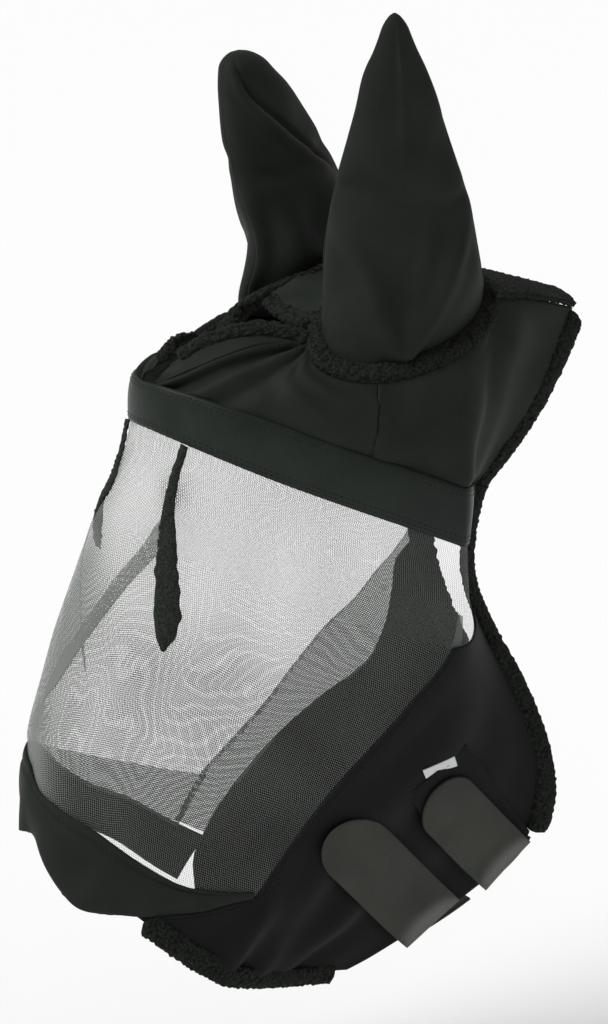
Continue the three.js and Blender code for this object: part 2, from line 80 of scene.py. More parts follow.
def linear(code):
    """An sRGB hex colour as linear red, green, blue and a full alpha."""
    levels = [int(code[i:i + 2], 16) / 255 for i in (0, 2, 4)]
    return [v / 12.92 if v <= 0.04045 else ((v + 0.055) / 1.055) ** 2.4 for v in levels] + [1.0]


def add_node(tree, kind, links=None, inputs=None, **settings):
    """One node with its settings, input values and links from other nodes' outputs."""
    made = tree.nodes.new(kind)
    for key, value in settings.items():
        setattr(made, key, value)
    for key, value in (inputs or {}).items():
        made.inputs[key].default_value = value
    for key, socket in (links or {}).items():
        tree.links.new(socket, made.inputs[key])
    return made


def new_material(name):
    """An empty node material and its tree."""
    material = bpy.data.materials.new(name)
    material.use_nodes = True
    material.node_tree.nodes.clear()
    return material, material.node_tree


def surface(tree, links, inputs):
    """The shader a material ends in, with its links and settings."""
    shader = add_node(tree, "ShaderNodeBsdfPrincipled", links=links, inputs=inputs)
    add_node(tree, "ShaderNodeOutputMaterial", links={"Surface": shader.outputs["BSDF"]})


toward = np.array([np.sin(VIEW_AZIMUTH) * np.cos(VIEW_HEIGHT),
                   -np.cos(VIEW_AZIMUTH) * np.cos(VIEW_HEIGHT), np.sin(VIEW_HEIGHT)])
camera_data = bpy.data.cameras.new("camera")
camera_data.sensor_width = SENSOR
camera_data.lens = SENSOR * VIEW_DISTANCE / SEEN_HEIGHT
camera_data.clip_end = 60.0
camera = bpy.data.objects.new("camera", camera_data)
camera.location = VIEW_MIDDLE + VIEW_DISTANCE * toward
camera.rotation_euler = (np.pi / 2 - VIEW_HEIGHT, 0.0, VIEW_AZIMUTH)
bpy.context.collection.objects.link(camera)
bpy.context.scene.camera = camera
bpy.context.scene.view_settings.view_transform = "Standard"

world = bpy.data.worlds.new("white_room")
world.use_nodes = True
world.node_tree.nodes["Background"].inputs["Color"].default_value = (1.0, 1.0, 1.0, 1.0)
world.node_tree.nodes["Background"].inputs["Strength"].default_value = ROOM_LIGHT
bpy.context.scene.world = world

FLOOR_GAP = 0.10
FLOOR_HALF = 14.0
floor_level = CAD_BOX[0][2] - FLOOR_GAP
floor_mesh = bpy.data.meshes.new("floor")
floor_mesh.from_pydata([(FLOOR_HALF * x, FLOOR_HALF * y, floor_level)
                        for x, y in ((-1, -1), (1, -1), (1, 1), (-1, 1))], [], [(0, 1, 2, 3)])
floor_paint, tree = new_material("matt_pale_floor")
surface(tree, {}, {"Base Color": linear(PALE), "Roughness": 0.9})
floor_mesh.materials.append(floor_paint)
floor = bpy.data.objects.new("floor", floor_mesh)
bpy.context.collection.objects.link(floor)

# a broad key from the upper left of the view, so that folds turn dark on their right
key_way = -0.62 * np.array([np.cos(VIEW_AZIMUTH), np.sin(VIEW_AZIMUTH), 0.0])
key_way = key_way + 0.30 * toward + np.array([0.0, 0.0, 0.72])
key_data = bpy.data.lights.new("key_light", "SUN")
key_data.energy = KEY_POWER
key_data.angle = np.radians(42.0)
key_light = bpy.data.objects.new("key_light", key_data)
key_light.rotation_euler = (np.arccos(key_way[2] / np.linalg.norm(key_way)), 0.0,
                            np.arctan2(key_way[1], key_way[0]) + np.pi / 2)
bpy.context.collection.objects.link(key_light)

# --- Face mesh ---------------------------------------------------------------------------------
# One piece of open knitted mesh from the browband to the noseband, let out over the eyes. It is
# a grey-black yarn net with holes a little over a millimetre apart, sewn into every seam round it.
LEAN = np.radians(28.0)
FRONT_R = [(110, -222), (137, -221), (160, -212), (250, -206), (330, -195), (367, -184),
           (419, -160), (440, -152)]
SIDE_R = [(110, -45), (140, -30), (175, -8), (204, 4), (250, -5), (320, -27), (386, -38),
          (440, -42)]
SIDE_X = [(110, 88), (140, 88), (204, 80), (250, 76), (320, 70), (386, 63), (440, 58)]
EDGE_R = [(110, -6), (140, 6), (170, 26), (188, 47), (215, 84), (247, 118), (270, 134),
          (293, 142), (338, 129), (390, 90), (425, 58), (440, 43)]
EDGE_X = [(110, 40), (140, 34), (170, 31), (215, 35), (262, 37), (293, 31), (340, 25), (390, 25),
          (440, 23)]
BROW_TOP = [(0, 137), (0.5, 127), (1, 116), (2, 111)]
BROW_LOW = [(0, 161), (0.5, 158), (1, 148), (2, 139)]
NOSE_TOP = [(0, 374), (0.05, 382), (0.19, 389), (0.4, 393), (0.6, 400), (0.76, 402), (0.9, 396),
            (1, 389)]
NOSE_LOW = [(0, 411), (0.09, 415), (0.26, 435), (0.36, 439), (0.48, 437), (0.6, 431), (0.74, 421),
            (0.85, 411), (0.93, 400), (1, 391)]
HEM_LOW = [(0.63, 436), (0.75, 442), (1, 449), (1.4, 447), (1.8, 437), (2, 426)]
RIGHT_TOP = [(0, 374), (0.12, 367), (0.36, 363), (0.5, 370), (0.65, 375), (0.86, 375), (1, 378),
             (1.2, 379)]
RIGHT_LOW = [(0, 411), (0.2, 413), (0.4, 408), (0.6, 402), (0.85, 402), (1, 407), (1.2, 410)]
RIGHT_NET = [(0, 374), (0.12, 367), (0.36, 363), (0.55, 361), (0.71, 357), (0.86, 352), (1.03, 344)]
RIGHT_MESH = [(139, 1.995), (152, 1.98), (165, 1.81), (188, 1.475), (220, 1.18), (252, 1.105),
              (295, 1.085), (323, 1.06), (344, 1.03)]
RIGHT_CHEEK = [(159, 1.97), (171, 1.76), (193, 1.59), (215, 1.48), (238, 1.41), (271, 1.26),
               (294, 1.205), (325, 1.175), (376, 1.165), (395, 1.2), (412, 1.3)]
RIGHT_HEM = [(1.2, 410), (1.3, 421), (1.45, 429), (1.6, 432), (1.8, 428), (2, 421)]
CHEEK_TOP = 178.0
CHEEK_FRONT = 206.0
NOSE_CORNER = 391.0
MESH_PITCH = 0.00135
THREAD = 0.00015
NET_GREY = "6E726E"


def curve(keys, u):
    """Smooth curve through (place, value) keys: a cubic in each span, with the slope at a key
    the average of the slopes beside it."""
    place, value = np.array(keys, float).T
    span = np.diff(place)
    slope = np.diff(value) / span
    tangent = np.concatenate(([slope[0]], (slope[:-1] * span[1:] + slope[1:] * span[:-1])
                              / (place[2:] - place[:-2]), [slope[-1]]))
    u = np.asarray(u, float)
    i = np.clip(np.searchsorted(place, u, side="right") - 1, 0, len(place) - 2)
    h = span[i]
    s = (u - place[i]) / h
    return ((1 + 2 * s) * (1 - s) ** 2 * value[i] + s * (1 - s) ** 2 * h * tangent[i]
            + s * s * (3 - 2 * s) * value[i + 1] + s * s * (s - 1) * h * tangent[i + 1])


def bezier(a, b, c, d, t):
    """Cubic through a and d, leaving towards b and arriving from c."""
    return (1 - t) ** 3 * a + 3 * (1 - t) ** 2 * t * b + 3 * (1 - t) * t * t * c + t ** 3 * d


def head(q, way):
    """The head surface in mm. q runs down the face line, which leans back from upright; at each
    q the outline is one cubic from the face (way 0) to the side (1) and one on to the rear
    edge (2). Negative ways mirror it to the right."""
    q, way = np.broadcast_arrays(np.asarray(q, float), np.asarray(way, float))
    t = np.abs(way)
    side_r, side_x, front_r = curve(SIDE_R, q), curve(SIDE_X, q), curve(FRONT_R, q)
    edge_r, edge_x = curve(EDGE_R, q), curve(EDGE_X, q)
    deep = edge_r - side_r
    x = np.where(t <= 1, bezier(0, 0.62 * side_x, 1.02 * side_x, side_x, t),
                 bezier(side_x, 0.99 * side_x, 0.15 * side_x + 0.85 * edge_x, edge_x, t - 1))
    r = np.where(t <= 1, bezier(front_r, front_r, (front_r + side_r) / 2, side_r, t),
                 bezier(side_r, side_r + 0.33 * deep, edge_r - 0.33 * deep, edge_r, t - 1))
    return np.stack([np.sign(way) * x, -np.sin(LEAN) * q + np.cos(LEAN) * r,
                     -np.cos(LEAN) * q - np.sin(LEAN) * r], -1)


def unit(v):
    """Vectors scaled to length one."""
    return v / np.maximum(np.linalg.norm(v, axis=-1, keepdims=True), 1e-9)


def head_normal(q, way):
    """Outward normal of the head surface, the cross product of its two small differences."""
    e = 1e-3
    down = head(q + 10 * e, way) - head(q - 10 * e, way)
    return unit(np.cross(down, head(q, way + e) - head(q, way - e)))


def raised(base, normal, height):
    """Points moved along their normals by a height in mm."""
    return base + normal * np.asarray(height)[..., None]


def grid_normal(points):
    """Normals of a grid of points, the cross product of its row and column differences."""
    return unit(np.cross(np.gradient(points, axis=0), np.gradient(points, axis=1)))


def waves(points, size, seed):
    """Smooth seeded noise from -1 to 1: the mean of eleven sine waves of about the given wave
    length, each along its own random direction."""
    random = np.random.default_rng(seed)
    ways = unit(random.normal(size=(11, 3))) * random.uniform(0.8, 1.3, (11, 1))
    phase = random.uniform(0, 2 * np.pi, 11)
    return np.sin(points @ ways.T * 2 * np.pi / size + phase).mean(axis=-1) * 2.2


def placed(name, mesh, material):
    """A mesh put in the scene as a smooth object of one material."""
    mesh.materials.append(material)
    mesh.shade_smooth()
    piece = bpy.data.objects.new(name, mesh)
    bpy.context.collection.objects.link(piece)
    return piece


def grid_object(name, points, material, outward, wall=0.0, closed=(False, False), capped=False,
                offset=0.0, gather=None):
    """A quad grid of points in mm as an object in metres, with a UV map in metres of cloth
    measured along its rows and columns. wall gives it a thickness in mm, outward is a direction
    for each point that its faces must point along, and gather is how far net is drawn together."""
    rows, columns = points.shape[:2]
    index = np.arange(rows * columns).reshape(rows, columns)
    across = np.vstack([index, index[:1]]) if closed[0] else index
    full = np.hstack([across, across[:, :1]]) if closed[1] else across
    a, b = full[:-1, :-1].ravel(), full[1:, :-1].ravel()
    c, d = full[1:, 1:].ravel(), full[:-1, 1:].ravel()
    quads = np.stack([a, b, c, d], 1)
    flat = points.reshape(-1, 3)
    face = np.cross(flat[c] - flat[a], flat[d] - flat[b])
    if (face * np.broadcast_to(outward, points.shape).reshape(-1, 3)[a]).sum() < 0:
        quads = quads[:, ::-1]
    rings = [tuple(index[0]), tuple(index[-1])] if capped else []
    mesh = bpy.data.meshes.new(name)
    mesh.from_pydata((flat / 1000).tolist(), [], quads.tolist() + rings)
    step_u = np.linalg.norm(np.diff(points, axis=0, append=points[:1]), axis=-1)[:-1]
    step_v = np.linalg.norm(np.diff(points, axis=1, append=points[:, :1]), axis=-1)[:, :-1]
    u = np.concatenate([np.zeros((1, columns)), np.cumsum(step_u, 0)]) / 1000
    v = np.concatenate([np.zeros((rows, 1)), np.cumsum(step_v, 1)], axis=1) / 1000
    u = u - u.mean(axis=0) + 0.5
    v = v - v.mean(axis=1, keepdims=True) + 0.5
    corners = np.zeros(len(mesh.loops), dtype=np.int32)
    mesh.loops.foreach_get("vertex_index", corners)
    uv = mesh.uv_layers.new(name="cloth")
    uv.data.foreach_set("uv", np.stack([u.ravel(), v.ravel()], 1)[corners].ravel())
    if gather is not None:
        drawn = mesh.attributes.new("gather", "FLOAT", "POINT")
        drawn.data.foreach_set("value", np.broadcast_to(gather, points.shape[:2]).ravel())
    piece = placed(name, mesh, material)
    if wall:
        solid = piece.modifiers.new("wall", "SOLIDIFY")
        solid.thickness = wall / 1000
        solid.offset = offset
    return piece


def sewn(piece, body, slot, *nodes):
    """Say which body a piece moves with and which solids it stands for; slot, its finish, is not
    used.
    """
    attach(piece, body)
    if nodes:
        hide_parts(*nodes)
    return piece


def cut_size(points):
    """A rectangle of the longest row and column, in metres, let out until it holds the panel's
    own area, and that area."""
    du = np.linalg.norm(np.diff(points, axis=0), axis=-1).sum(axis=0) / 1000
    dv = np.linalg.norm(np.diff(points, axis=1), axis=-1).sum(axis=1) / 1000
    diagonal = np.cross(points[1:, 1:] - points[:-1, :-1], points[1:, :-1] - points[:-1, 1:])
    area = np.linalg.norm(diagonal, axis=-1).sum() / 2e6
    size = np.array([dv.max(), du.max()])
    size *= np.sqrt(max(1.0, area / size.prod()))
    return tuple(size), float(max(area, 0.31 * size.prod()))


def hung_sheet(piece, points, held, *rests):
    """Work out a panel's cut size and area; nothing further is done with them."""
    flat, area = cut_size(points)


def panel(name, points, material, outward, slot, held, *nodes, rests=(), **extra):
    """A panel of cloth: a grid of points made an object and sewn to the mask."""
    piece = grid_object(name, points, material, outward, **extra)
    sewn(piece, "shell", slot, *nodes)
    hung_sheet(piece, points, held, *rests)
    return piece


def net_material(name, yarn, thread, pitch):
    """Knitted fly mesh: a grid of yarns of the given thickness and pitch in metres, see-through
    between them. The yarns wander a little, as a knitted net does, and cover more where the net
    is gathered. They are drawn a little coarser than real, so that they show from afar."""
    material, tree = new_material(name)
    cloth = add_node(tree, "ShaderNodeUVMap", uv_map="cloth")
    wander = add_node(tree, "ShaderNodeTexNoise", links={"Vector": cloth.outputs["UV"]},
                      inputs={"Scale": 22.0, "Detail": 1.0})
    drift = add_node(tree, "ShaderNodeVectorMath", operation="MULTIPLY_ADD",
                     links={0: wander.outputs["Color"], 2: cloth.outputs["UV"]},
                     inputs={1: (0.004, 0.004, 0.0)})
    scaled = add_node(tree, "ShaderNodeVectorMath", operation="SCALE",
                      links={0: drift.outputs["Vector"]}, inputs={"Scale": 1.0 / pitch})
    split = add_node(tree, "ShaderNodeSeparateXYZ", links={"Vector": scaled.outputs["Vector"]})
    drawn = add_node(tree, "ShaderNodeAttribute", attribute_name="gather")
    share = add_node(tree, "ShaderNodeMath", operation="MULTIPLY_ADD",
                     links={0: drawn.outputs["Fac"]},
                     inputs={1: thread / pitch, 2: thread / pitch})
    yarns = []
    for axis in ("X", "Y"):
        part = add_node(tree, "ShaderNodeMath", operation="FRACT",
                        links={0: split.outputs[axis]})
        yarns.append(add_node(tree, "ShaderNodeMath", operation="LESS_THAN",
                              links={0: part.outputs["Value"], 1: share.outputs["Value"]}))
    cover = add_node(tree, "ShaderNodeMath", operation="MAXIMUM",
                     links={0: yarns[0].outputs["Value"], 1: yarns[1].outputs["Value"]})
    surface(tree, {"Alpha": cover.outputs["Value"]},
            {"Base Color": linear(yarn), "Roughness": 0.6})
    return material


def ease(t):
    """Smooth step from 0 to 1."""
    t = np.clip(t, 0, 1)
    return t * t * (3 - 2 * t)


def mesh_edge(q):
    """How far round the mesh reaches: to the rear edge above the cheek, to the side line below."""
    back = 2 - (q - CHEEK_TOP) / (CHEEK_FRONT - CHEEK_TOP)
    return np.where(q < CHEEK_TOP, 2.0, np.where(q < CHEEK_FRONT, back, 1.0))


def both_sides(left, right, signed):
    """Left values where the signed way is positive and right ones where it is negative."""
    return np.where(signed >= 0, left, right)


NET = net_material("knitted_fly_mesh", NET_GREY, THREAD, MESH_PITCH)
mesh_top = 139.0
down = np.interp(np.arange(92), (0, 12, 30, 91), (0, 0.12, 0.3, 1))[:, None]
side = np.linspace(-1, 1, 281)[None, :]
edge_q = mesh_top + (both_sides(NOSE_CORNER, 344.0, side) - mesh_top) * down
reach = both_sides(mesh_edge(edge_q) - 0.004, curve(RIGHT_MESH, edge_q), side)


def mesh_level(signed):
    """Place down the face at this share between the browband's seam and the lower edge."""
    way = np.abs(signed)
    top = curve(BROW_LOW, way)
    bottom = both_sides(curve(NOSE_TOP, np.minimum(way, 1)),
                        curve(RIGHT_NET, np.minimum(way, 1.03)), signed)
    return top + (bottom - top) * down


mesh_way = side * reach
mesh_q = mesh_level(mesh_way) + (edge_q - mesh_level(np.sign(side) * reach)) * np.abs(side) ** 3
# a soft crease runs down from beside the left dart to the nose, where the net doubles over
# itself, and a fainter one lies on the right
CREASES = [([(186, 0.235), (223, 0.255), (253, 0.205), (289, 0.14), (331, 0.045), (350, 0.0)],
            0.085, 2.15),
           ([(190, -0.10), (240, -0.22), (290, -0.42), (335, -0.60)], 0.06, 1.5)]
slack = 1.5 * np.sin(mesh_q / 17 + 5 * mesh_way) * ease((mesh_q - 290) / 60)
shift = 0.0
for path, spread, doubling in CREASES:
    middle = curve(path, np.clip(mesh_q, path[0][0], path[-1][0]))
    along = ease((mesh_q - path[0][0]) / 30) * ease((path[-1][0] - mesh_q) / 30)
    bell = np.exp(-((mesh_way - middle) / spread) ** 2) * along
    slack = slack + 2.2 * bell
    shift = shift - doubling * (mesh_way - middle) * bell
held = (1 - side ** 8) * ease(down / 0.05) * ease((1 - down) / 0.05)
# the net is drawn together in the crease, along the brow's right front and over the slack nose
near_crease = curve(CREASES[0][0], np.clip(mesh_q, 186, 350))
gather = (2.6 * np.exp(-((mesh_way - near_crease) / 0.05) ** 2) * ease((mesh_q - 170) / 25)
          * ease((372 - mesh_q) / 40)
          + 1.6 * np.exp(-((mesh_way + 0.10) / 0.10) ** 2) * ease((285 - mesh_q) / 60)
          + 1.3 * ease((0.32 - mesh_way) / 0.25) * ease((mesh_q - 240) / 60)
          + 4.0 * np.exp(-((mesh_way - 0.01) / 0.09) ** 2) * ease((mesh_q - 215) / 40)
          + 0.25 * (1 + waves(head(mesh_q, mesh_way), 60, 11)))
mesh_way = mesh_way + shift * held
mesh_normal = head_normal(mesh_q, mesh_way)
mesh_points = raised(head(mesh_q, mesh_way), mesh_normal, slack * held + 0.6)
face_mesh = panel("fly_mesh_face", mesh_points, NET, mesh_normal, "fly_mesh", "stretched",
                  "face_mesh", gather=gather)

# --- Seam facings ------------------------------------------------------------------------------
# Doubled strips of the same net sewn inside along the cheek seams, which let much less light
# through. The right one is wide and shows through the face; the left one is narrow.
DENSE_THREAD = 0.00064
DENSE_PITCH = 0.0012
DENSE_NET = net_material("doubled_fly_mesh", "5A605B", DENSE_THREAD, DENSE_PITCH)
facing_share = np.linspace(0, 1, 24)[None, :]
left_q = np.linspace(186, 388, 70)[:, None]
left_way = 1.16 - 0.15 * facing_share
right_q = np.linspace(153, 377, 90)[:, None]
right_near = curve(RIGHT_MESH, np.minimum(right_q, 344)) - 0.02
right_far = np.maximum(curve(RIGHT_CHEEK, np.maximum(right_q, 159)), right_near) + 0.01
lower_way = np.linspace(0.36, 1.04, 60)[:, None]
lower_q = curve(RIGHT_NET, lower_way) + (curve(RIGHT_TOP, lower_way) + 2
                                        - curve(RIGHT_NET, lower_way)) * facing_share
for name, nodes, q, way, lift in (
        ("left", ["seam_facing_left"], left_q, left_way + 0 * left_q, -2.5),
        ("right", ["seam_facing_right"], right_q,
         -(right_near + (right_far - right_near) * facing_share), 0.5),
        ("lower", [], lower_q, -lower_way + 0 * facing_share, 0.3)):
    normal = head_normal(q, way)
    panel(f"seam_facing_net_{name}", head(q, way) + normal * lift, DENSE_NET, normal, "fly_mesh",
          "stretched", *nodes)

# --- Browband ----------------------------------------------------------------------------------
# A wide, smooth elastic band right round the brow to the rear bindings. It is satin-faced, a
# little lighter than the rest, and its two edges carry a double row of stitches.
BAND_LIFT = 0.2
BAND_WALL = 1.8
STITCH = 2.6
STITCH_GAP = 1.2
THREAD_HALF = 0.28


def two_tones(tree, level, *stops):
    """A ramp between two places, each with its colour, read at a level."""
    ramp = add_node(tree, "ShaderNodeValToRGB", links={"Fac": level})
    for element, (position, code) in zip(ramp.color_ramp.elements, stops):
        element.position = position
        element.color = linear(code)
    return ramp


def cloth_material(name, dark, light, roughness, sheen, thread, depth, fold=None):
    """Knitted or woven cloth: two crossing sets of yarn ridges as bump, a slow change between
    two tones, and a soft sheen from the fibre ends. thread is the yarn spacing in metres, and
    fold is where on the cloth, in metres, a painted sheen lightens the tone towards a fold."""
    material, tree = new_material(name)
    cloth = add_node(tree, "ShaderNodeUVMap", uv_map="cloth")
    place = add_node(tree, "ShaderNodeTexCoord")
    tone = add_node(tree, "ShaderNodeTexNoise", links={"Vector": place.outputs["Object"]},
                    inputs={"Scale": 26.0, "Detail": 4.0, "Roughness": 0.6})
    fibre = add_node(tree, "ShaderNodeTexNoise", links={"Vector": place.outputs["Object"]},
                     inputs={"Scale": 900.0, "Detail": 2.0})
    mixed = add_node(tree, "ShaderNodeMath", operation="MULTIPLY_ADD",
                     links={0: fibre.outputs["Fac"], 2: tone.outputs["Fac"]},
                     inputs={1: 0.5})
    ramp = two_tones(tree, mixed.outputs["Value"], (0.45, dark), (1.05, light))
    ridges = [add_node(tree, "ShaderNodeTexWave", links={"Vector": cloth.outputs["UV"]},
                       inputs={"Scale": 0.31 / thread, "Distortion": 0.6, "Detail": 0.0},
                       bands_direction=direction) for direction in ("X", "Y")]
    weave = add_node(tree, "ShaderNodeMath", operation="MULTIPLY",
                     links={0: ridges[0].outputs["Fac"], 1: ridges[1].outputs["Fac"]})
    bump = add_node(tree, "ShaderNodeBump", links={"Height": weave.outputs["Value"]},
                    inputs={"Strength": 0.7, "Distance": depth})
    colour = ramp.outputs["Color"]
    # painted sheen: the colour turns lighter towards the tape's fold
    if fold:
        split = add_node(tree, "ShaderNodeSeparateXYZ", links={"Vector": cloth.outputs["UV"]})
        sheen_share = add_node(tree, "ShaderNodeMapRange", links={"Value": split.outputs["X"]},
                        inputs={"From Min": fold[1], "From Max": fold[0], "To Min": 0.0,
                                "To Max": 1.0}, interpolation_type="SMOOTHSTEP")
        pale = add_node(tree, "ShaderNodeMix", data_type="RGBA",
                        links={"Factor": sheen_share.outputs["Result"], "A": colour})
        pale.inputs["B"].default_value = linear("62635F")
        colour = pale.outputs["Result"]
    surface(tree, {"Base Color": colour, "Normal": bump.outputs["Normal"]},
            {"Roughness": roughness, "Sheen Weight": sheen, "Sheen Roughness": 0.45,
             "Sheen Tint": (0.8, 0.85, 0.83, 1.0), "Specular IOR Level": 0.18})
    return material


def run_along(path):
    """Distance along a path of points at each of them."""
    return np.concatenate([[0], np.cumsum(np.linalg.norm(np.diff(path, axis=0), axis=1))])


def read_along(places, run, values):
    """Vectors known at distances run along a path, read at other places between them."""
    return np.stack([np.interp(places, run, values[:, k]) for k in range(3)], -1)


def stitch_row(name, path, normals, slot):
    """A row of sewn stitches along a path in mm: each is a short six-sided spindle, fat in the
    middle, whose ring is cosine times the flank plus sine times the normal."""
    run = run_along(path)
    starts = np.arange(STITCH_GAP, run[-1] - STITCH - STITCH_GAP, STITCH + STITCH_GAP)
    first, last = read_along(starts, run, path), read_along(starts + STITCH, run, path)
    out = unit(read_along(starts + STITCH / 2, run, normals))
    flank = np.cross(out, unit(last - first))
    turn = np.linspace(0, 2 * np.pi, 6, endpoint=False)
    spokes = (flank[:, None, None] * np.cos(turn)[None, None, :, None]
              + out[:, None, None] * np.sin(turn)[None, None, :, None])
    share = np.array([0.0, 0.25, 0.75, 1.0])
    half = THREAD_HALF * np.array([0.35, 1.0, 1.0, 0.35])
    middle = first[:, None] + (last - first)[:, None] * share[None, :, None]
    middle = middle + out[:, None] * (THREAD_HALF * 0.5 * np.sin(np.pi * share))[None, :, None]
    points = middle[:, :, None] + spokes * half[None, :, None, None]
    count = len(starts)
    base = np.arange(count)[:, None, None, None] * 24
    row = np.arange(3)[None, :, None, None] * 6
    around = np.arange(6)[None, None, :, None]
    quad = np.concatenate([base + row + around, base + row + (around + 1) % 6,
                           base + row + 6 + (around + 1) % 6, base + row + 6 + around], -1)
    ends = np.arange(count)[:, None] * 24 + np.arange(6)[None, ::-1]
    faces = quad.reshape(-1, 4).tolist() + ends.tolist() + (ends[:, ::-1] + 18).tolist()
    mesh = bpy.data.meshes.new(name)
    mesh.from_pydata((points.reshape(-1, 3) / 1000).tolist(), [], faces)
    sewn(placed(name, mesh, YARN), "shell", slot)


SATIN = cloth_material("satin_faced_elastic", "121814", "1E2620", 0.42, 0.02, 0.0009, 0.00012)
YARN = cloth_material("polyester_sewing_thread", "0C0E0D", "1B1F1C", 0.5, 0.05, 0.0004, 0.00005)
band_way = np.linspace(-1.985, 1.985, 241)[None, :]
band_share = np.linspace(0, 1, 15)[:, None]
brow_top, brow_low = curve(BROW_TOP, np.abs(band_way)), curve(BROW_LOW, np.abs(band_way))
band_q = brow_top + (brow_low - brow_top) * band_share
# the band is slightly padded between its seams, and its left front dips in a soft fold
pad = (1.5 * np.sin(np.pi * band_share) ** 0.7
       - 2.2 * np.exp(-((band_way - 0.21) / 0.05) ** 2) * np.sin(np.pi * band_share) ** 2
       + 0.35 * waves(head(band_q, band_way), 42, 3))
band_normal = head_normal(band_q, band_way)
band_points = raised(head(band_q, band_way), band_normal, BAND_LIFT + BAND_WALL / 2 + pad)
panel("browband_elastic", band_points, SATIN, band_normal, "satin_band", "stretched", "browband",
      wall=BAND_WALL)
for number, row in enumerate((1, 2, 12, 13)):
    stitch_row(f"browband_stitches_{number + 1}",
               band_points[row] + band_normal[row] * BAND_WALL / 2, band_normal[row], "satin_band")

# --- Noseband ----------------------------------------------------------------------------------
# A crescent of doubled stretch fabric round the nose, hemmed along its top and left loose at the
# bottom, so it sags in soft folds. A fleece strip lines it inside.
LYCRA = cloth_material("knitted_stretch_fabric", "101410", "1B211B", 0.68, 0.03, 0.0007, 0.00008)
NOSE_WALL = 2.2


def nose_edge(left, right, signed):
    """An edge of the noseband: its left keys and its right ones, which reach further round."""
    way = np.abs(signed)
    return both_sides(curve(left, np.minimum(way, 1)), curve(right, way), signed)


nose_way = np.linspace(-0.985, 0.985, 181)[None, :]
nose_share = np.linspace(0, 1, 27)[:, None]
nose_way = np.where(nose_way < 0, nose_way * 1.2, nose_way)
nose_high = nose_edge(NOSE_TOP, RIGHT_TOP, nose_way)
nose_low = nose_edge(NOSE_LOW, RIGHT_LOW, nose_way)
nose_q = nose_high + (nose_low - nose_high) * nose_share
puff = (2.2 * np.sin(np.pi * nose_share) ** 0.8 * np.minimum(1, (nose_low - nose_high) / 30)
        + 2.0 * np.sin(nose_way * 26 + nose_share * 4) * nose_share ** 1.5
        * ease((0.95 - np.abs(nose_way)) / 0.3)
        - 1.2 * np.exp(-((nose_share - 0.15) / 0.035) ** 2)
        + 0.5 * waves(head(nose_q, nose_way), 38, 5))
nose_normal = head_normal(nose_q, nose_way)
nose_points = raised(head(nose_q, nose_way), nose_normal, 1.4 + puff)
panel("noseband_stretch", nose_points, LYCRA, nose_normal, "stretch_fabric", "stretched",
      "noseband", wall=NOSE_WALL)
stitch_row("noseband_hem_stitches", nose_points[3] + nose_normal[3] * NOSE_WALL / 2,
           nose_normal[3], "stretch_fabric")


def fleece_material(name, dark, light, curl):
    """Curly pile fleece: matt, with clustered curls as bump, a random fibre tone and painted
    shade that darkens the gaps between the curls. curl is the width of one curl in metres."""
    material, tree = new_material(name)
    place = add_node(tree, "ShaderNodeTexCoord")
    curls = add_node(tree, "ShaderNodeTexVoronoi", links={"Vector": place.outputs["Object"]},
                     inputs={"Scale": 1.0 / curl, "Randomness": 1.0}, feature="SMOOTH_F1")
    fibre = add_node(tree, "ShaderNodeTexNoise", links={"Vector": place.outputs["Object"]},
                     inputs={"Scale": 1.6 / curl, "Detail": 6.0, "Roughness": 0.75})
    pile = add_node(tree, "ShaderNodeMath", operation="MULTIPLY_ADD",
                    links={0: curls.outputs["Distance"], 2: fibre.outputs["Fac"]},
                    inputs={1: -0.8})
    # the colour follows the pile: painted shade in the low gaps between curls, plus random fibre
    # tone
    ramp = two_tones(tree, pile.outputs["Value"], (0.0, dark), (0.6, light))
    bump = add_node(tree, "ShaderNodeBump", links={"Height": pile.outputs["Value"]},
                    inputs={"Strength": 1.0, "Distance": 0.0012})
    surface(tree, {"Base Color": ramp.outputs["Color"], "Normal": bump.outputs["Normal"]},
            {"Roughness": 0.95, "Sheen Weight": 0.02, "Sheen Roughness": 0.6,
             "Specular IOR Level": 0.1})
    return material


DART_FLEECE = fleece_material("short_pile_dart", "20241F", "3E443C", 0.0014)
FLEECE = fleece_material("curly_pile_fleece", "0F120E", "313630", 0.0016)


def curls(points, height, seed):
    """Raised curls of pile: rounded humps about 3 mm and 1.6 mm across, in mm of height."""
    return height * (0.75 * (1 - np.abs(waves(points, 6.5, seed)))
                     + 0.45 * waves(points, 3.4, seed + 1) - 0.3)


lining_share = np.linspace(0.28, 1.03, 21)[:, None]
lining_way = np.linspace(-0.62, 0.62, 191)[None, :]
lining_high = nose_edge(NOSE_TOP, RIGHT_TOP, lining_way)
lining_q = lining_high + (nose_edge(NOSE_LOW, RIGHT_LOW, lining_way) - lining_high) * lining_share
lining_base = head(lining_q, lining_way)
lining_normal = head_normal(lining_q, lining_way)
lining_points = raised(lining_base, -lining_normal, 2.2 + curls(lining_base, 1.2, 21))
panel("noseband_fleece", lining_points, FLEECE, -lining_normal, "fleece", "stretched",
      "nose_lining", wall=1.6)

# --- Cheeks and chin hems ----------------------------------------------------------------------
# One panel of stretch fabric on each side, from the cheek seam back to the rear binding and down
# to a fleece hem under the chin. The right one starts further back, behind its wide facing.
HEM_WIDTH = 15.0
FLEECE_THICK = 6.4
CLOTH_WALL = 1.4
CLOTH_LIFT = 0.8


def way_at(q, r):
    """Way round at which the rear outline lies r mm back from the face line, by bisection."""
    q, r = np.broadcast_arrays(np.asarray(q, float), np.asarray(r, float))
    side_r, edge_r = curve(SIDE_R, q), curve(EDGE_R, q)
    deep = edge_r - side_r
    low, high = np.zeros(q.shape), np.ones(q.shape)
    for _ in range(26):
        middle = (low + high) / 2
        near = bezier(side_r, side_r + 0.33 * deep, edge_r - 0.33 * deep, edge_r, middle) < r
        low, high = np.where(near, middle, low), np.where(near, high, middle)
    return 1 + (low + high) / 2


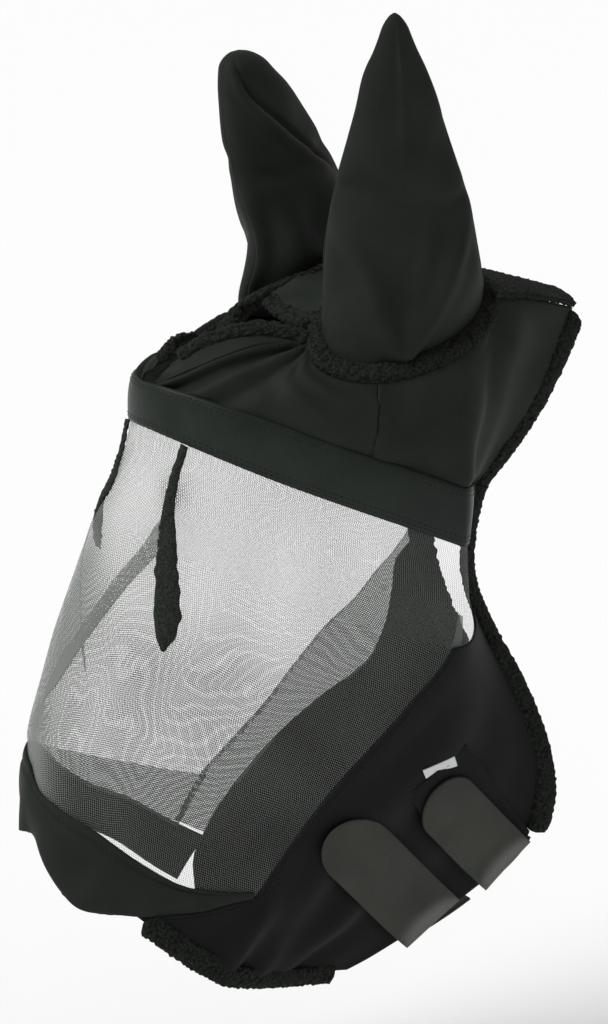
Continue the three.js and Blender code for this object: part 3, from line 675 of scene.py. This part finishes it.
def smooth(values, passes):
    """Rows of values averaged with their neighbours, with the two end rows kept."""
    values = values.copy()
    for _ in range(passes):
        values[1:-1] = (values[:-2] + 2 * values[1:-1] + values[2:]) / 4
    return values


def fleece_tube(name, nodes, path, across, out, width, thick, seed, closed=False):
    """A flattened tube of pile along a path in mm, evenly stepped: across is the direction of its
    width and out the direction of its thickness, both squared to the path, and the surface is
    raised in seeded curls. It stands for the named solids."""
    if closed:
        path = np.vstack([path, path[:1]])
        across, out = np.vstack([across, across[:1]]), np.vstack([out, out[:1]])
    run = run_along(path)
    place = np.linspace(0, run[-1], int(run[-1] / 1.1))
    place = place[:-1] if closed else place
    path, across, out = [read_along(place, run, part) for part in (path, across, out)]
    if closed:
        along = unit(np.roll(path, -1, 0) - np.roll(path, 1, 0))
    else:
        along = unit(np.gradient(path, axis=0))
    across = unit(across - along * (across * along).sum(-1, keepdims=True))
    square = np.cross(along, across)
    out = square * np.sign((square * out).sum(-1, keepdims=True))
    turn = np.linspace(0, 2 * np.pi, 34, endpoint=False)[None, :, None]
    end = np.minimum(place, place[-1] - place)[:, None, None]
    taper = 1.0 if closed else np.sqrt(np.clip(1 - (1 - end / 3.5).clip(0) ** 2, 0.02, 1))
    half = across[:, None] * width / 2 * np.cos(turn) + out[:, None] * thick / 2 * np.sin(turn)
    base = path[:, None] + half * taper
    pile = curls(base, 1.5, seed) * np.squeeze(taper + 0 * turn, -1)
    tube = grid_object(name, raised(base, unit(half), pile), FLEECE, half,
                       closed=(closed, True), capped=not closed)
    sewn(tube, "shell", "fleece", *nodes)


# the stretch fabric again, made much darker for the cheeks: painted shade on the cheek panels
SHADED_CHEEK_CLOTH = cloth_material("knitted_cheek_fabric_painted_shade", "040604", "080B08", 0.72, 0.02, 0.0007,
                             0.00008)
down = np.linspace(0, 1, 95)[:, None]
back = np.linspace(0, 1, 71)[None, :]
for name, sign, top, bottom, hem_keys, hem_rise in (
        ("left", 1, 181, 430, HEM_LOW, HEM_WIDTH - 4),
        ("right", -1, 162, 412, RIGHT_HEM, HEM_WIDTH / 2 - 4)):
    seam_q = top + (bottom - top) * down
    if name == "left":
        # below the mesh the seam runs on along the noseband's lower edge
        corner_q, corner_way = np.linspace(393.5, bottom, 60), np.linspace(1, 0.6, 80)
        corner_way = np.interp(corner_q, curve(NOSE_LOW, corner_way), corner_way)
        front_way = np.where(seam_q < NOSE_CORNER, mesh_edge(seam_q),
                             np.interp(seam_q, corner_q, corner_way)) + 0.004
        front_way = np.minimum(front_way, 1.95)
        hem_way = np.linspace(0.66, 1.97, 90)
        hem_width = np.minimum(HEM_WIDTH, curve(HEM_LOW, hem_way)
                               - curve(NOSE_LOW, np.minimum(hem_way, 1)) - 1)
        hem_q = curve(HEM_LOW, hem_way) - hem_width / 2
    else:
        front_way = curve(RIGHT_CHEEK, seam_q)
        hem_way = np.linspace(1.32, 1.97, 60)
        hem_q = curve(RIGHT_HEM, hem_way)
    way = front_way + (1.995 - front_way) * back
    lag = seam_q - (top + (curve(hem_keys, front_way) - hem_rise - top) * down)
    q = top + (curve(hem_keys, way) - hem_rise - top) * down + lag * (1 - back) ** 3
    base = head(q, sign * way)
    normal = head_normal(q, sign * way)
    # hanging folds: two soft ones behind the cheek seam and drag lines below the front tab
    fold = (2.8 * np.sin(way * 15 + q / 40) * ease((q - 215) / 70) * ease((way - front_way) / 0.2)
            * ease((1.95 - way) / 0.35)
            + 2.2 * np.sin(way * 24 - q / 23) * ease((q - 330) / 50) * ease((1.9 - way) / 0.3)
            * ease((way - front_way) / 0.15) + 1.2 * waves(base, 55, 31))
    points = raised(base, normal, CLOTH_LIFT + fold * 0.75)
    panel(f"cheek_fabric_{name}", points, SHADED_CHEEK_CLOTH, normal, "stretch_fabric", "hung",
          f"cheek_panel_{name}", wall=CLOTH_WALL)
    stitch_row(f"cheek_seam_stitches_{name}", points[:, 2] + normal[:, 2] * 0.8, normal[:, 2],
               "stretch_fabric")
    hem_path, hem_out = head(hem_q, sign * hem_way), head_normal(hem_q, sign * hem_way)
    fleece_tube(f"chin_hem_fleece_{name}", [f"chin_hem_{name}"], hem_path + hem_out,
                head(hem_q + 1, sign * hem_way) - hem_path, hem_out, HEM_WIDTH * 0.94,
                FLEECE_THICK, 41 + sign)

# --- Crown and poll ----------------------------------------------------------------------------
# Stretch fabric from the browband up to the ear rings and back to the poll, seamed below each
# ear. A bridge joins the rings between the ears and a fleece-lined pad lies on the poll.
RING_MIDDLE = np.array([47.5, -110, 13])
RING_FRONT = np.array([0.0, -62, -6])
RING_OUTER = np.array([27.5, -16, -25])
RING_GROW = 3.0
SIDE_SEAM = 0.75
MIRROR = np.array([-1.0, 1.0, 1.0])
SIDES = (("left", np.ones(3)), ("right", MIRROR))


def ring(turn, grow):
    """The ellipse of an ear ring, let out by grow mm, turned from its front (0) through its outer
    low point to its rear (pi)."""
    turn = np.asarray(turn, float)[..., None]
    front, outer = np.linalg.norm(RING_FRONT), np.linalg.norm(RING_OUTER)
    return (RING_MIDDLE + RING_FRONT * (front + grow) / front * np.cos(turn)
            + RING_OUTER * (outer + grow) / outer * np.sin(turn))


def through(places, u):
    """A smooth curve through 3-D points, at share u of the way along their list."""
    places = np.array(places, float)
    steps = np.arange(len(places)) / (len(places) - 1)
    return np.stack([curve(list(zip(steps, places[:, k])), u) for k in range(3)], -1)


SEAM_TURN = 0.42 * np.pi
FRONT_ARC = ring(np.linspace(0, SEAM_TURN, 5), RING_GROW).tolist()
FRONT_TOP = {"left": [(11, -248, -5), (21, -229, 7), (33, -199, 14)] + FRONT_ARC,
             "right": [(11, -248, -12), (21, -229, -1), (33, -199, -6)] + FRONT_ARC}
REAR_TOP = ring(np.linspace(SEAM_TURN, np.pi, 5), RING_GROW).tolist() + [
    (38, -22, 17), (30, 2, 9), (19, 24, 1)]


def crown(start, stop, top, bow_start, bow_stop, u, v):
    """A crown panel ruled from the browband (v = 0) up to its top edge (v = 1), bowed outwards
    between them."""
    u, v = np.broadcast_arrays(np.asarray(u, float), np.asarray(v, float))
    way = start + (stop - start) * u
    low = head(curve(BROW_TOP, way) + 3, way)
    high = through(top, u)
    bow = (4 * v * (1 - v) * (bow_start + (bow_stop - bow_start) * u))[..., None]
    return low + (high - low) * v[..., None] + bow * np.array([1, -0.25, 0])


def crown_front(u, v, name="left"):
    return crown(0.03, SIDE_SEAM - 0.002, FRONT_TOP[name], 3, 9, u, v)


def crown_rear(u, v):
    return crown(SIDE_SEAM + 0.002, 1.985, REAR_TOP, 9, 17, u, v)


crown_u = np.linspace(0, 1, 121)[:, None]
crown_v = np.linspace(0, 1, 71)[None, :]
rear_points = crown_rear(crown_u, crown_v)
rear_normal = -grid_normal(rear_points)
held = ease(crown_v / 0.12) * ease((1.02 - crown_v) / 0.15)
# gathers spread from the front of the ear ring down to the browband
spread = (0.45 - crown_u) / (1.10 - crown_v)
gathers = (3.4 * np.sin(spread * 26 + 0.8) * np.exp(-((spread - 0.22) / 0.2) ** 2)
           + 2.0 * np.sin(spread * 44) * np.exp(-((spread - 0.40) / 0.12) ** 2)
           + 1.5 * waves(rear_points, 44, 51)) * held
# behind the seam the cloth hangs in two shallow upright folds
drapes = (2.6 * np.sin(crown_u * 13 + crown_v * 1.6 + 0.6) * ease(crown_u / 0.12)
          * ease((1 - crown_u) / 0.35) + 1.5 * waves(rear_points, 46, 52)) * held
for name, way in SIDES:
    front_points = crown_front(crown_u, crown_v, name)
    front_normal = -grid_normal(front_points)
    for part, points, normal, relief in (("front", front_points, front_normal, gathers),
                                         ("rear", rear_points, rear_normal, drapes)):
        cloth = raised(points, normal, CLOTH_LIFT + relief) * way
        panel(f"crown_{part}_fabric_{name}", cloth, LYCRA, normal * way, "stretch_fabric",
              "stretched", f"crown_{part}_{name}", wall=CLOTH_WALL)
    stitch_row(f"crown_seam_stitches_{name}",
               (raised(rear_points, rear_normal, 2 * CLOTH_LIFT + drapes) * way)[2],
               (rear_normal * way)[2], "stretch_fabric")

BRIDGE_RISE = -6.0


def bridge(u, across):
    """The cloth between the ears: u runs back over the poll, across from right to left."""
    turn = np.pi * (-0.16 - 0.68 * np.asarray(u, float))
    edge = ring(turn, RING_GROW - 1)
    across = np.asarray(across, float) + 0 * turn
    return np.stack([edge[..., 0] * across, edge[..., 1] + 0 * across,
                     edge[..., 2] + BRIDGE_RISE * (1 - across * across)], -1)


def upward(points):
    """Normals of a grid of points, turned to point up."""
    normal = grid_normal(points)
    return normal * np.sign(normal[..., 2:])


bridge_base = bridge(np.linspace(0, 1, 60)[:, None] * np.ones((1, 61)),
                     np.linspace(-1, 1, 61)[None, :] * np.ones((60, 1)))
bridge_normal = upward(bridge_base)
bridge_points = raised(bridge_base, bridge_normal, CLOTH_LIFT + waves(bridge_base, 26, 61))
panel("poll_bridge_fabric", bridge_points, LYCRA, bridge_normal, "stretch_fabric", "stretched",
      "poll_bridge", wall=CLOTH_WALL)

poll_u, poll_across = np.linspace(0, 1, 60)[:, None], np.linspace(-1, 1, 50)[None, :]
poll_edge = through([(55, -52, 21), (47, -38, 17), (40, -21, 14), (31, 2, 7), (20, 23, 0)],
                    poll_u + 0 * poll_across)
poll_base = poll_edge * np.array([0.0, 1.0, 1.0]) + np.stack(
    [poll_edge[..., 0] * poll_across, 0 * poll_edge[..., 1], 4 * (1 - poll_across ** 2)
     + 0 * poll_u], -1)
poll_normal = upward(poll_base)
poll_points = raised(poll_base, poll_normal, 3.4 + curls(poll_base, 1.3, 63))
panel("poll_pad_fleece", poll_points, FLEECE, poll_normal, "fleece", "laid", "poll_pad", wall=3.5)

# --- Fleece bindings and ear rings -------------------------------------------------------------
# Curly pile folded over every edge that touches the horse: down both rear edges, round the
# forelock opening, across the bridge and round each ear. It is sewn through the panel edges.
JOWL = 290.0
BINDING = 15.0
crown_v_edge = np.linspace(0.97, 0.04, 40)
crown_edge = crown_rear(np.ones(40), crown_v_edge)
crown_side = unit(crown_edge - crown_rear(np.full(40, 0.97), crown_v_edge))
inner = crown_rear(np.full(40, 0.96), crown_v_edge)
crown_out = -unit(np.cross(crown_edge - inner, crown_rear(np.full(40, 0.98), crown_v_edge + 0.02)
                           - crown_rear(np.full(40, 0.98), crown_v_edge - 0.02)))
head_q = np.linspace(113, JOWL + 2, 90)
head_edge = head(head_q, 2)
head_side = unit(head(head_q, 2.01) - head_edge)
rear_path = smooth(np.vstack([crown_edge, head_edge]), 4)
rear_side = unit(smooth(np.vstack([crown_side, head_side]), 30))
rear_out = unit(smooth(np.vstack([crown_out, head_normal(head_q, 2.0)]), 30))
rear_path = rear_path + rear_side * (BINDING / 2 - 0.5) + rear_out * 0.8

ring_turn = np.linspace(0, 2 * np.pi, 240, endpoint=False)
ring_path = ring(ring_turn, -4)
ring_out = np.tile(unit(np.cross(RING_OUTER, RING_FRONT)), (240, 1))

for name, way in SIDES:
    fleece_tube(f"rear_binding_fleece_{name}", [f"rear_binding_{name}", f"poll_binding_{name}"],
                rear_path * way, rear_side * way, rear_out * way, BINDING, FLEECE_THICK,
                71 + int(way[0]))
    lock_u = np.linspace(0.02, 0.42, 40)
    lock_path = crown_front(lock_u, np.ones(40), name)
    lock_side = unit(lock_path - crown_front(lock_u, np.full(40, 0.9), name))
    lock_out = unit(np.cross(lock_side, np.gradient(lock_path, axis=0)))
    lock_out = lock_out * np.sign(lock_out[:, :1])
    fleece_tube(f"forelock_binding_fleece_{name}", [f"forelock_binding_{name}"],
                (lock_path + lock_side * 3) * way, lock_side * way, lock_out * way, 9, 6,
                75 + int(way[0]))
    fleece_tube(f"ear_ring_fleece_{name}", [f"ear_ring_{name}"], ring_path * way,
                unit(ring_path - RING_MIDDLE) * way, ring_out * way, 14, 8.5, 79 + int(way[0]),
                closed=True)
bridge_across = np.linspace(-0.84, 0.84, 60)
bridge_path = bridge(np.zeros(60), bridge_across)
bridge_side = unit(bridge_path - bridge(np.full(60, 0.05), bridge_across))
fleece_tube("bridge_binding_fleece", ["bridge_binding"], bridge_path + bridge_side * 3.5,
            bridge_side, np.tile([0.0, 0.0, 1.0], (60, 1)), 11, 6, 83)

# --- Ear covers --------------------------------------------------------------------------------
# A front and a back panel of close-knit fabric each, seamed up both edges and gathered into the
# ring. The left one stands to its tip and the right one leans away with its tip tucked over.
EAR_HEIGHT = 191.0
EAR_ACROSS = unit(np.array([0.35, 0.94, 0.0]))
EAR_DEEP = unit(np.array([0.94, -0.35, 0.0]))
HALF_WIDTH = [(0, 52), (0.1, 47), (0.2, 45.5), (0.38, 41), (0.53, 33.5), (0.7, 24), (0.81, 18),
              (0.9, 11), (1, 4)]
TUCKED_WIDTH = [(0, 52), (0.1, 46), (0.2, 44), (0.38, 42), (0.53, 36), (0.65, 27), (0.74, 17),
                (0.8, 12), (1, 10)]
HALF_DEPTH = [(0, 30), (0.25, 20), (0.6, 13), (1, 3)]
EAR_CLOTH = cloth_material("close_knit_ear_fabric", "111511", "1B201A", 0.72, 0.03, 0.0006, 0.00006)


def ear_cover(turn, v, widths, lean, height):
    """An ear cover: its section grows from the ring into an ellipse that leans and narrows to
    the tip. turn goes round it from the front and v up it."""
    rise = (v * EAR_HEIGHT / 200)[..., None]
    upper = (RING_MIDDLE + lean * rise
             - EAR_ACROSS * (curve(widths, v) * np.cos(turn))[..., None]
             + EAR_DEEP * (curve(HALF_DEPTH, v) * np.sin(turn))[..., None])
    share = ease(v / 0.22)[..., None]
    low = ring(turn, -8.5) + lean * rise * (1 - 0.4 * share)
    tip = np.sqrt(np.clip(1 - ((v - height + 0.05) / 0.05).clip(0) ** 2, 0.0025, 1))[..., None]
    middle = RING_MIDDLE + lean * rise
    whole = low + (upper - low) * share
    return np.where(v[..., None] > 0.3, middle + (whole - middle) * tip, whole)


LEFT_LEAN, RIGHT_LEAN = np.array([20.0, -18, 200]), np.array([32.0, -66, 200])
for name, way, widths, lean, height, seed in (
        ("left", np.ones(3), HALF_WIDTH, LEFT_LEAN, 1.0, 91),
        ("right", MIRROR, TUCKED_WIDTH, RIGHT_LEAN, 0.775, 95)):
    for part, start in (("front", 0.0), ("back", np.pi)):
        turn = (start + np.linspace(0.0, np.pi, 81))[:, None] + np.zeros((1, 131))
        v = (np.linspace(0, 1, 131)[None, :] * height) + np.zeros((81, 1))
        base = ear_cover(turn, v, widths, lean, height)
        normal = -grid_normal(base)
        centre = RING_MIDDLE + lean * (v * EAR_HEIGHT / 200)[..., None]
        normal = normal * np.sign(((base - centre) * normal).sum(-1, keepdims=True) + 1e-9)
        flat = ease((height - v) / 0.12) * np.abs(np.sin(turn - start)) ** 0.4
        # two ridges spread from the low point of the ring with a hollow between them, one soft
        # crease lies across at half height, and a fold runs down the tucked cover
        low_turn = np.pi / 2
        pleats = (6.0 * np.exp(-((turn - low_turn + 3.0 * v) / (0.13 + 0.5 * v)) ** 2)
                  + 5.6 * np.exp(-((turn - low_turn - 3.2 * v) / (0.12 + 0.45 * v)) ** 2)
                  + 2.2 * np.exp(-((turn - low_turn - 1.1 * v) / (0.08 + 0.2 * v)) ** 2)
                  + 3.0 * np.sin(turn * 6 + 5 * v) * (turn > np.pi)
                  ) * ease(v / 0.03) * ease((0.42 - v) / 0.22)
        pleats = pleats - 2.4 * np.exp(-((turn - low_turn) / 0.3) ** 2) * ease((0.3 - v) / 0.2)
        pleats = (pleats - 2.0 * np.exp(-((v - 0.43 - 0.03 * np.sin(turn * 2 + 0.6)) / 0.03) ** 2)
                  + 1.3 * np.exp(-((turn - 1.45 - 0.3 * v) / 0.12) ** 2) * ease((v - 0.5) / 0.2)
                  + 1.9 * waves(base, 46, seed))
        if name == "right":
            fold_turn = np.pi * (1.30 + (v - 0.42) * 1.5)
            pleats = pleats + (2.6 * np.exp(-((turn - fold_turn - 0.3) / 0.2) ** 2)
                               - 3.4 * np.exp(-((turn - fold_turn) / 0.10) ** 2)
                               ) * ease((v - 0.36) / 0.1)
        cloth = raised(base, normal, 0.6 + pleats * flat) * way
        cover = grid_object(f"ear_{part}_fabric_{name}", cloth, EAR_CLOTH, normal * way, wall=0.8)
        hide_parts(f"ear_{part}_{name}")
        hung_sheet(cover, cloth, "stretched")
        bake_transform(cover)

# --- Dart covers -------------------------------------------------------------------------------
# A leaf of fleece is sewn over the dart that gives each eye room. It is narrow at the browband,
# widest near its foot and cut to a blunt point.
DART_WAY = [(161, 0.232), (180, 0.226), (196, 0.242), (222, 0.298), (249, 0.366), (262, 0.39),
            (278, 0.415)]
DART_HALF = [(161, 0.014), (180, 0.016), (200, 0.022), (222, 0.034), (249, 0.040), (262, 0.040),
             (270, 0.028), (278, 0.006)]
RIGHT_DART_WAY = [(161, 0.17), (185, 0.10), (207, 0.11), (220, 0.20), (240, 0.33)]
RIGHT_DART_HALF = [(161, 0.02), (185, 0.03), (207, 0.045), (225, 0.045), (240, 0.012)]
dart_across = np.linspace(-1, 1, 33)[None, :]
for name, sign, keys, widths in (("left", 1, DART_WAY, DART_HALF),
                                 ("right", -1, RIGHT_DART_WAY, RIGHT_DART_HALF)):
    dart_q = np.linspace(161, keys[-1][0], 120)[:, None]
    way = sign * (curve(keys, dart_q) + dart_across * curve(widths, dart_q)
                  * (1 + 0.12 * waves(np.stack([dart_q + 0 * dart_across,
                                                0 * dart_q + np.sign(dart_across) * 9,
                                                0 * dart_q + 0 * dart_across], -1), 9, 101)))
    base = head(dart_q, way)
    normal = head_normal(dart_q, way)
    rise = 1.4 + 2.2 * np.sqrt(np.clip(1 - dart_across ** 2, 0, 1)) + curls(base, 0.9, 103)
    panel(f"dart_leaf_fleece_{name}", raised(base, normal, rise), DART_FLEECE, normal,
          "fleece", "laid", f"dart_cover_{name}", rests=[face_mesh], wall=1.6, offset=-1.0)

# --- Loop patches, closing tabs and care label -------------------------------------------------
# Loop tape is sewn flat on the left cheek. The hook tabs are sewn on the right cheek, come under
# the jaw, fold over the left rear edge and lie on the loop patches. A blank label is tucked in.
TAPE_WALL = 1.4
TABS = {
    "front": {"fold": ((386, 89), (346, 110)), "along": (-31, -114)},
    "rear": {"fold": ((335, 127), (296, 139)), "along": (-25, -90)},
}
LOOP_PATCHES = {
    "front": {"corner": (353, 6), "along": (27, 78), "across": (-31, 16)},
    "rear": {"corner": (299, 26), "along": (36, 92), "across": (-42, 26)},
}
LABEL = {"corner": (287, 36), "along": (-5.5, -9), "across": (-15, 19)}
PATCH_LIFT, HOOK_LIFT, TAB_LIFT = 2.4, 4.2, 5.6
THROAT_MIDDLE = np.array([0.0, -60.0, -260.0])
LOOP_CLOTH = cloth_material("brushed_loop_tape", "0C0E0D", "151715", 0.9, 0.02, 0.0005, 0.0001)
TAPE_LOOK = ("2A2C27", "3A3C36", 0.7, 0.04, 0.0005, 0.00008)
TAPE_CLOTH = cloth_material("woven_hook_tape_back", *TAPE_LOOK)
HOOK_CLOTH = cloth_material("moulded_hooks", "101211", "1E201E", 0.5, 0.02, 0.0011, 0.0004)
LABEL_CLOTH = cloth_material("woven_label_ribbon", "C9CCCB", "E2E4E3", 0.6, 0.2, 0.0004, 0.00004)


def cheek_patch(corner, along, across, lift, s, a):
    """A patch lying on the left cheek, at lift mm over it: a corner and two sides in (q, r)."""
    q = corner[0] + along[0] * s + across[0] * a
    way = way_at(q, corner[1] + along[1] * s + across[1] * a)
    return raised(head(q, way), head_normal(q, way), lift)


def tab_sheet(tab, start, stop, margin, lift, s, a):
    """The part of a tab that lies on the left cheek, from its fold to its rounded end."""
    (q0, r0), (q1, r1) = TABS[tab]["fold"]
    dq, dr = TABS[tab]["along"]
    side = margin + a * (1 - 2 * margin)
    end = 1 - 0.24 * (1 - np.sqrt(np.clip(1 - (2 * a - 1) ** 2 * 0.985, 0, 1)))
    reach = start + (stop * end - start) * s
    q = q0 + (q1 - q0) * side + dq * reach
    r = r0 + (r1 - r0) * side + dr * reach
    way = way_at(q, r)
    beyond = np.maximum(r - curve(EDGE_R, q), 0)[..., None]
    return (raised(head(q, way), head_normal(q, way), lift)
            + beyond * np.array([0.0, np.cos(LEAN), -np.sin(LEAN)]))


def tab_root(tab, s, a):
    """The sewn end of a tab: flat on the right cheek, then under the jaw to the left fold."""
    (q0, _), (q1, _) = TABS[tab]["fold"]
    q = q0 + (q1 - q0) * a + 0 * s
    edge = head(q, 2.0)
    way = way_at(q, curve(EDGE_R, q) - 30 * (1 - np.minimum(s, 0.4) / 0.4))
    sewn_part = (head(q, way) + head_normal(q, way) * 2.0) * MIRROR
    reach = np.clip((s - 0.4) / 0.6, 0, 1)
    x = (-edge[..., 0] - 1) * (1 - reach) + (edge[..., 0] + 1) * reach
    bulge = 1.2 + 3.5 * np.sin(np.pi * (0.12 + 0.6 * reach))
    crossing = np.stack([x, edge[..., 1] + np.cos(LEAN) * bulge,
                         edge[..., 2] - np.sin(LEAN) * bulge], -1)
    return np.where((s < 0.4)[..., None], sewn_part, crossing)


def border(points, inset):
    """The line round a grid of points, inset by a number of rows and columns."""
    inner = points[inset:-inset, inset:-inset]
    return np.vstack([inner[0], inner[1:, -1], inner[-1, -2::-1], inner[-2:0:-1, 0]])


patch_s = np.linspace(0, 1, 61)[:, None]
patch_a = np.linspace(0, 1, 37)[None, :]
for tab in ("front", "rear"):
    patch = LOOP_PATCHES[tab]
    points = cheek_patch(patch["corner"], patch["along"], patch["across"],
                         PATCH_LIFT + 0.3 * np.sin(9 * patch_s + 5 * patch_a), patch_s, patch_a)
    normal = grid_normal(points)
    normal = normal * np.sign(normal[..., :1])
    loop = grid_object(f"loop_tape_{tab}", points, LOOP_CLOTH, normal, wall=TAPE_WALL)
    sewn(loop, "shell", "loop_tape", f"loop_patch_{tab}")
    stitch_row(f"loop_tape_stitches_{tab}", border(points + normal * TAPE_WALL / 2, 2),
               border(normal, 2), "loop_tape")
    body = f"{tab}_tab"
    hooks = tab_sheet(tab, 0.3, 0.94, 0.05, HOOK_LIFT + 0 * patch_s, patch_s, patch_a)
    pad = grid_object(f"hook_pad_{tab}", hooks, HOOK_CLOTH, normal, wall=1.0)
    sewn(pad, body, "hook_pad", f"tab_{tab}_hooks")
    lift = TAB_LIFT + 0.5 * np.sin(5 * patch_s) - 5.0 * (1 - ease((patch_s + 0.02) / 0.2))
    strip = tab_sheet(tab, -0.10, 1.0, 0.0, lift, patch_s, patch_a)
    half = np.linalg.norm(np.diff(strip, axis=0), axis=-1).sum(axis=0).mean() / 2000
    # each tape has a painted sheen, lighter near its fold and fading out over about 20 mm
    tape = cloth_material(f"folded_tape_{tab}", *TAPE_LOOK,
                          fold=(0.5 - half + 0.002, 0.5 - half + 0.022))
    flap = grid_object(f"tab_tape_{tab}", strip, tape, normal, wall=TAPE_WALL)
    sewn(flap, body, "closing_tape", f"tab_{tab}")
    root_s = np.concatenate([np.linspace(0, 0.385, 20), np.linspace(0.42, 1, 40)])[:, None]
    root_points = tab_root(tab, root_s + 0 * patch_a, patch_a + 0 * root_s)
    root = grid_object(f"tab_root_tape_{tab}", root_points, TAPE_CLOTH,
                       root_points - THROAT_MIDDLE, wall=TAPE_WALL)
    sewn(root, "shell", "closing_tape", f"tab_{tab}_root")

label_s, label_a = np.linspace(0, 1, 14)[:, None], np.linspace(0, 1, 24)[None, :]
label_points = cheek_patch(LABEL["corner"], LABEL["along"], LABEL["across"],
                           PATCH_LIFT + 1.2 * label_s, label_s, label_a)
label = grid_object("care_label_ribbon", label_points, LABEL_CLOTH, np.array([1.0, 0.0, 0.0]),
                    wall=0.5)
sewn(label, "label", "woven_label", "care_label")
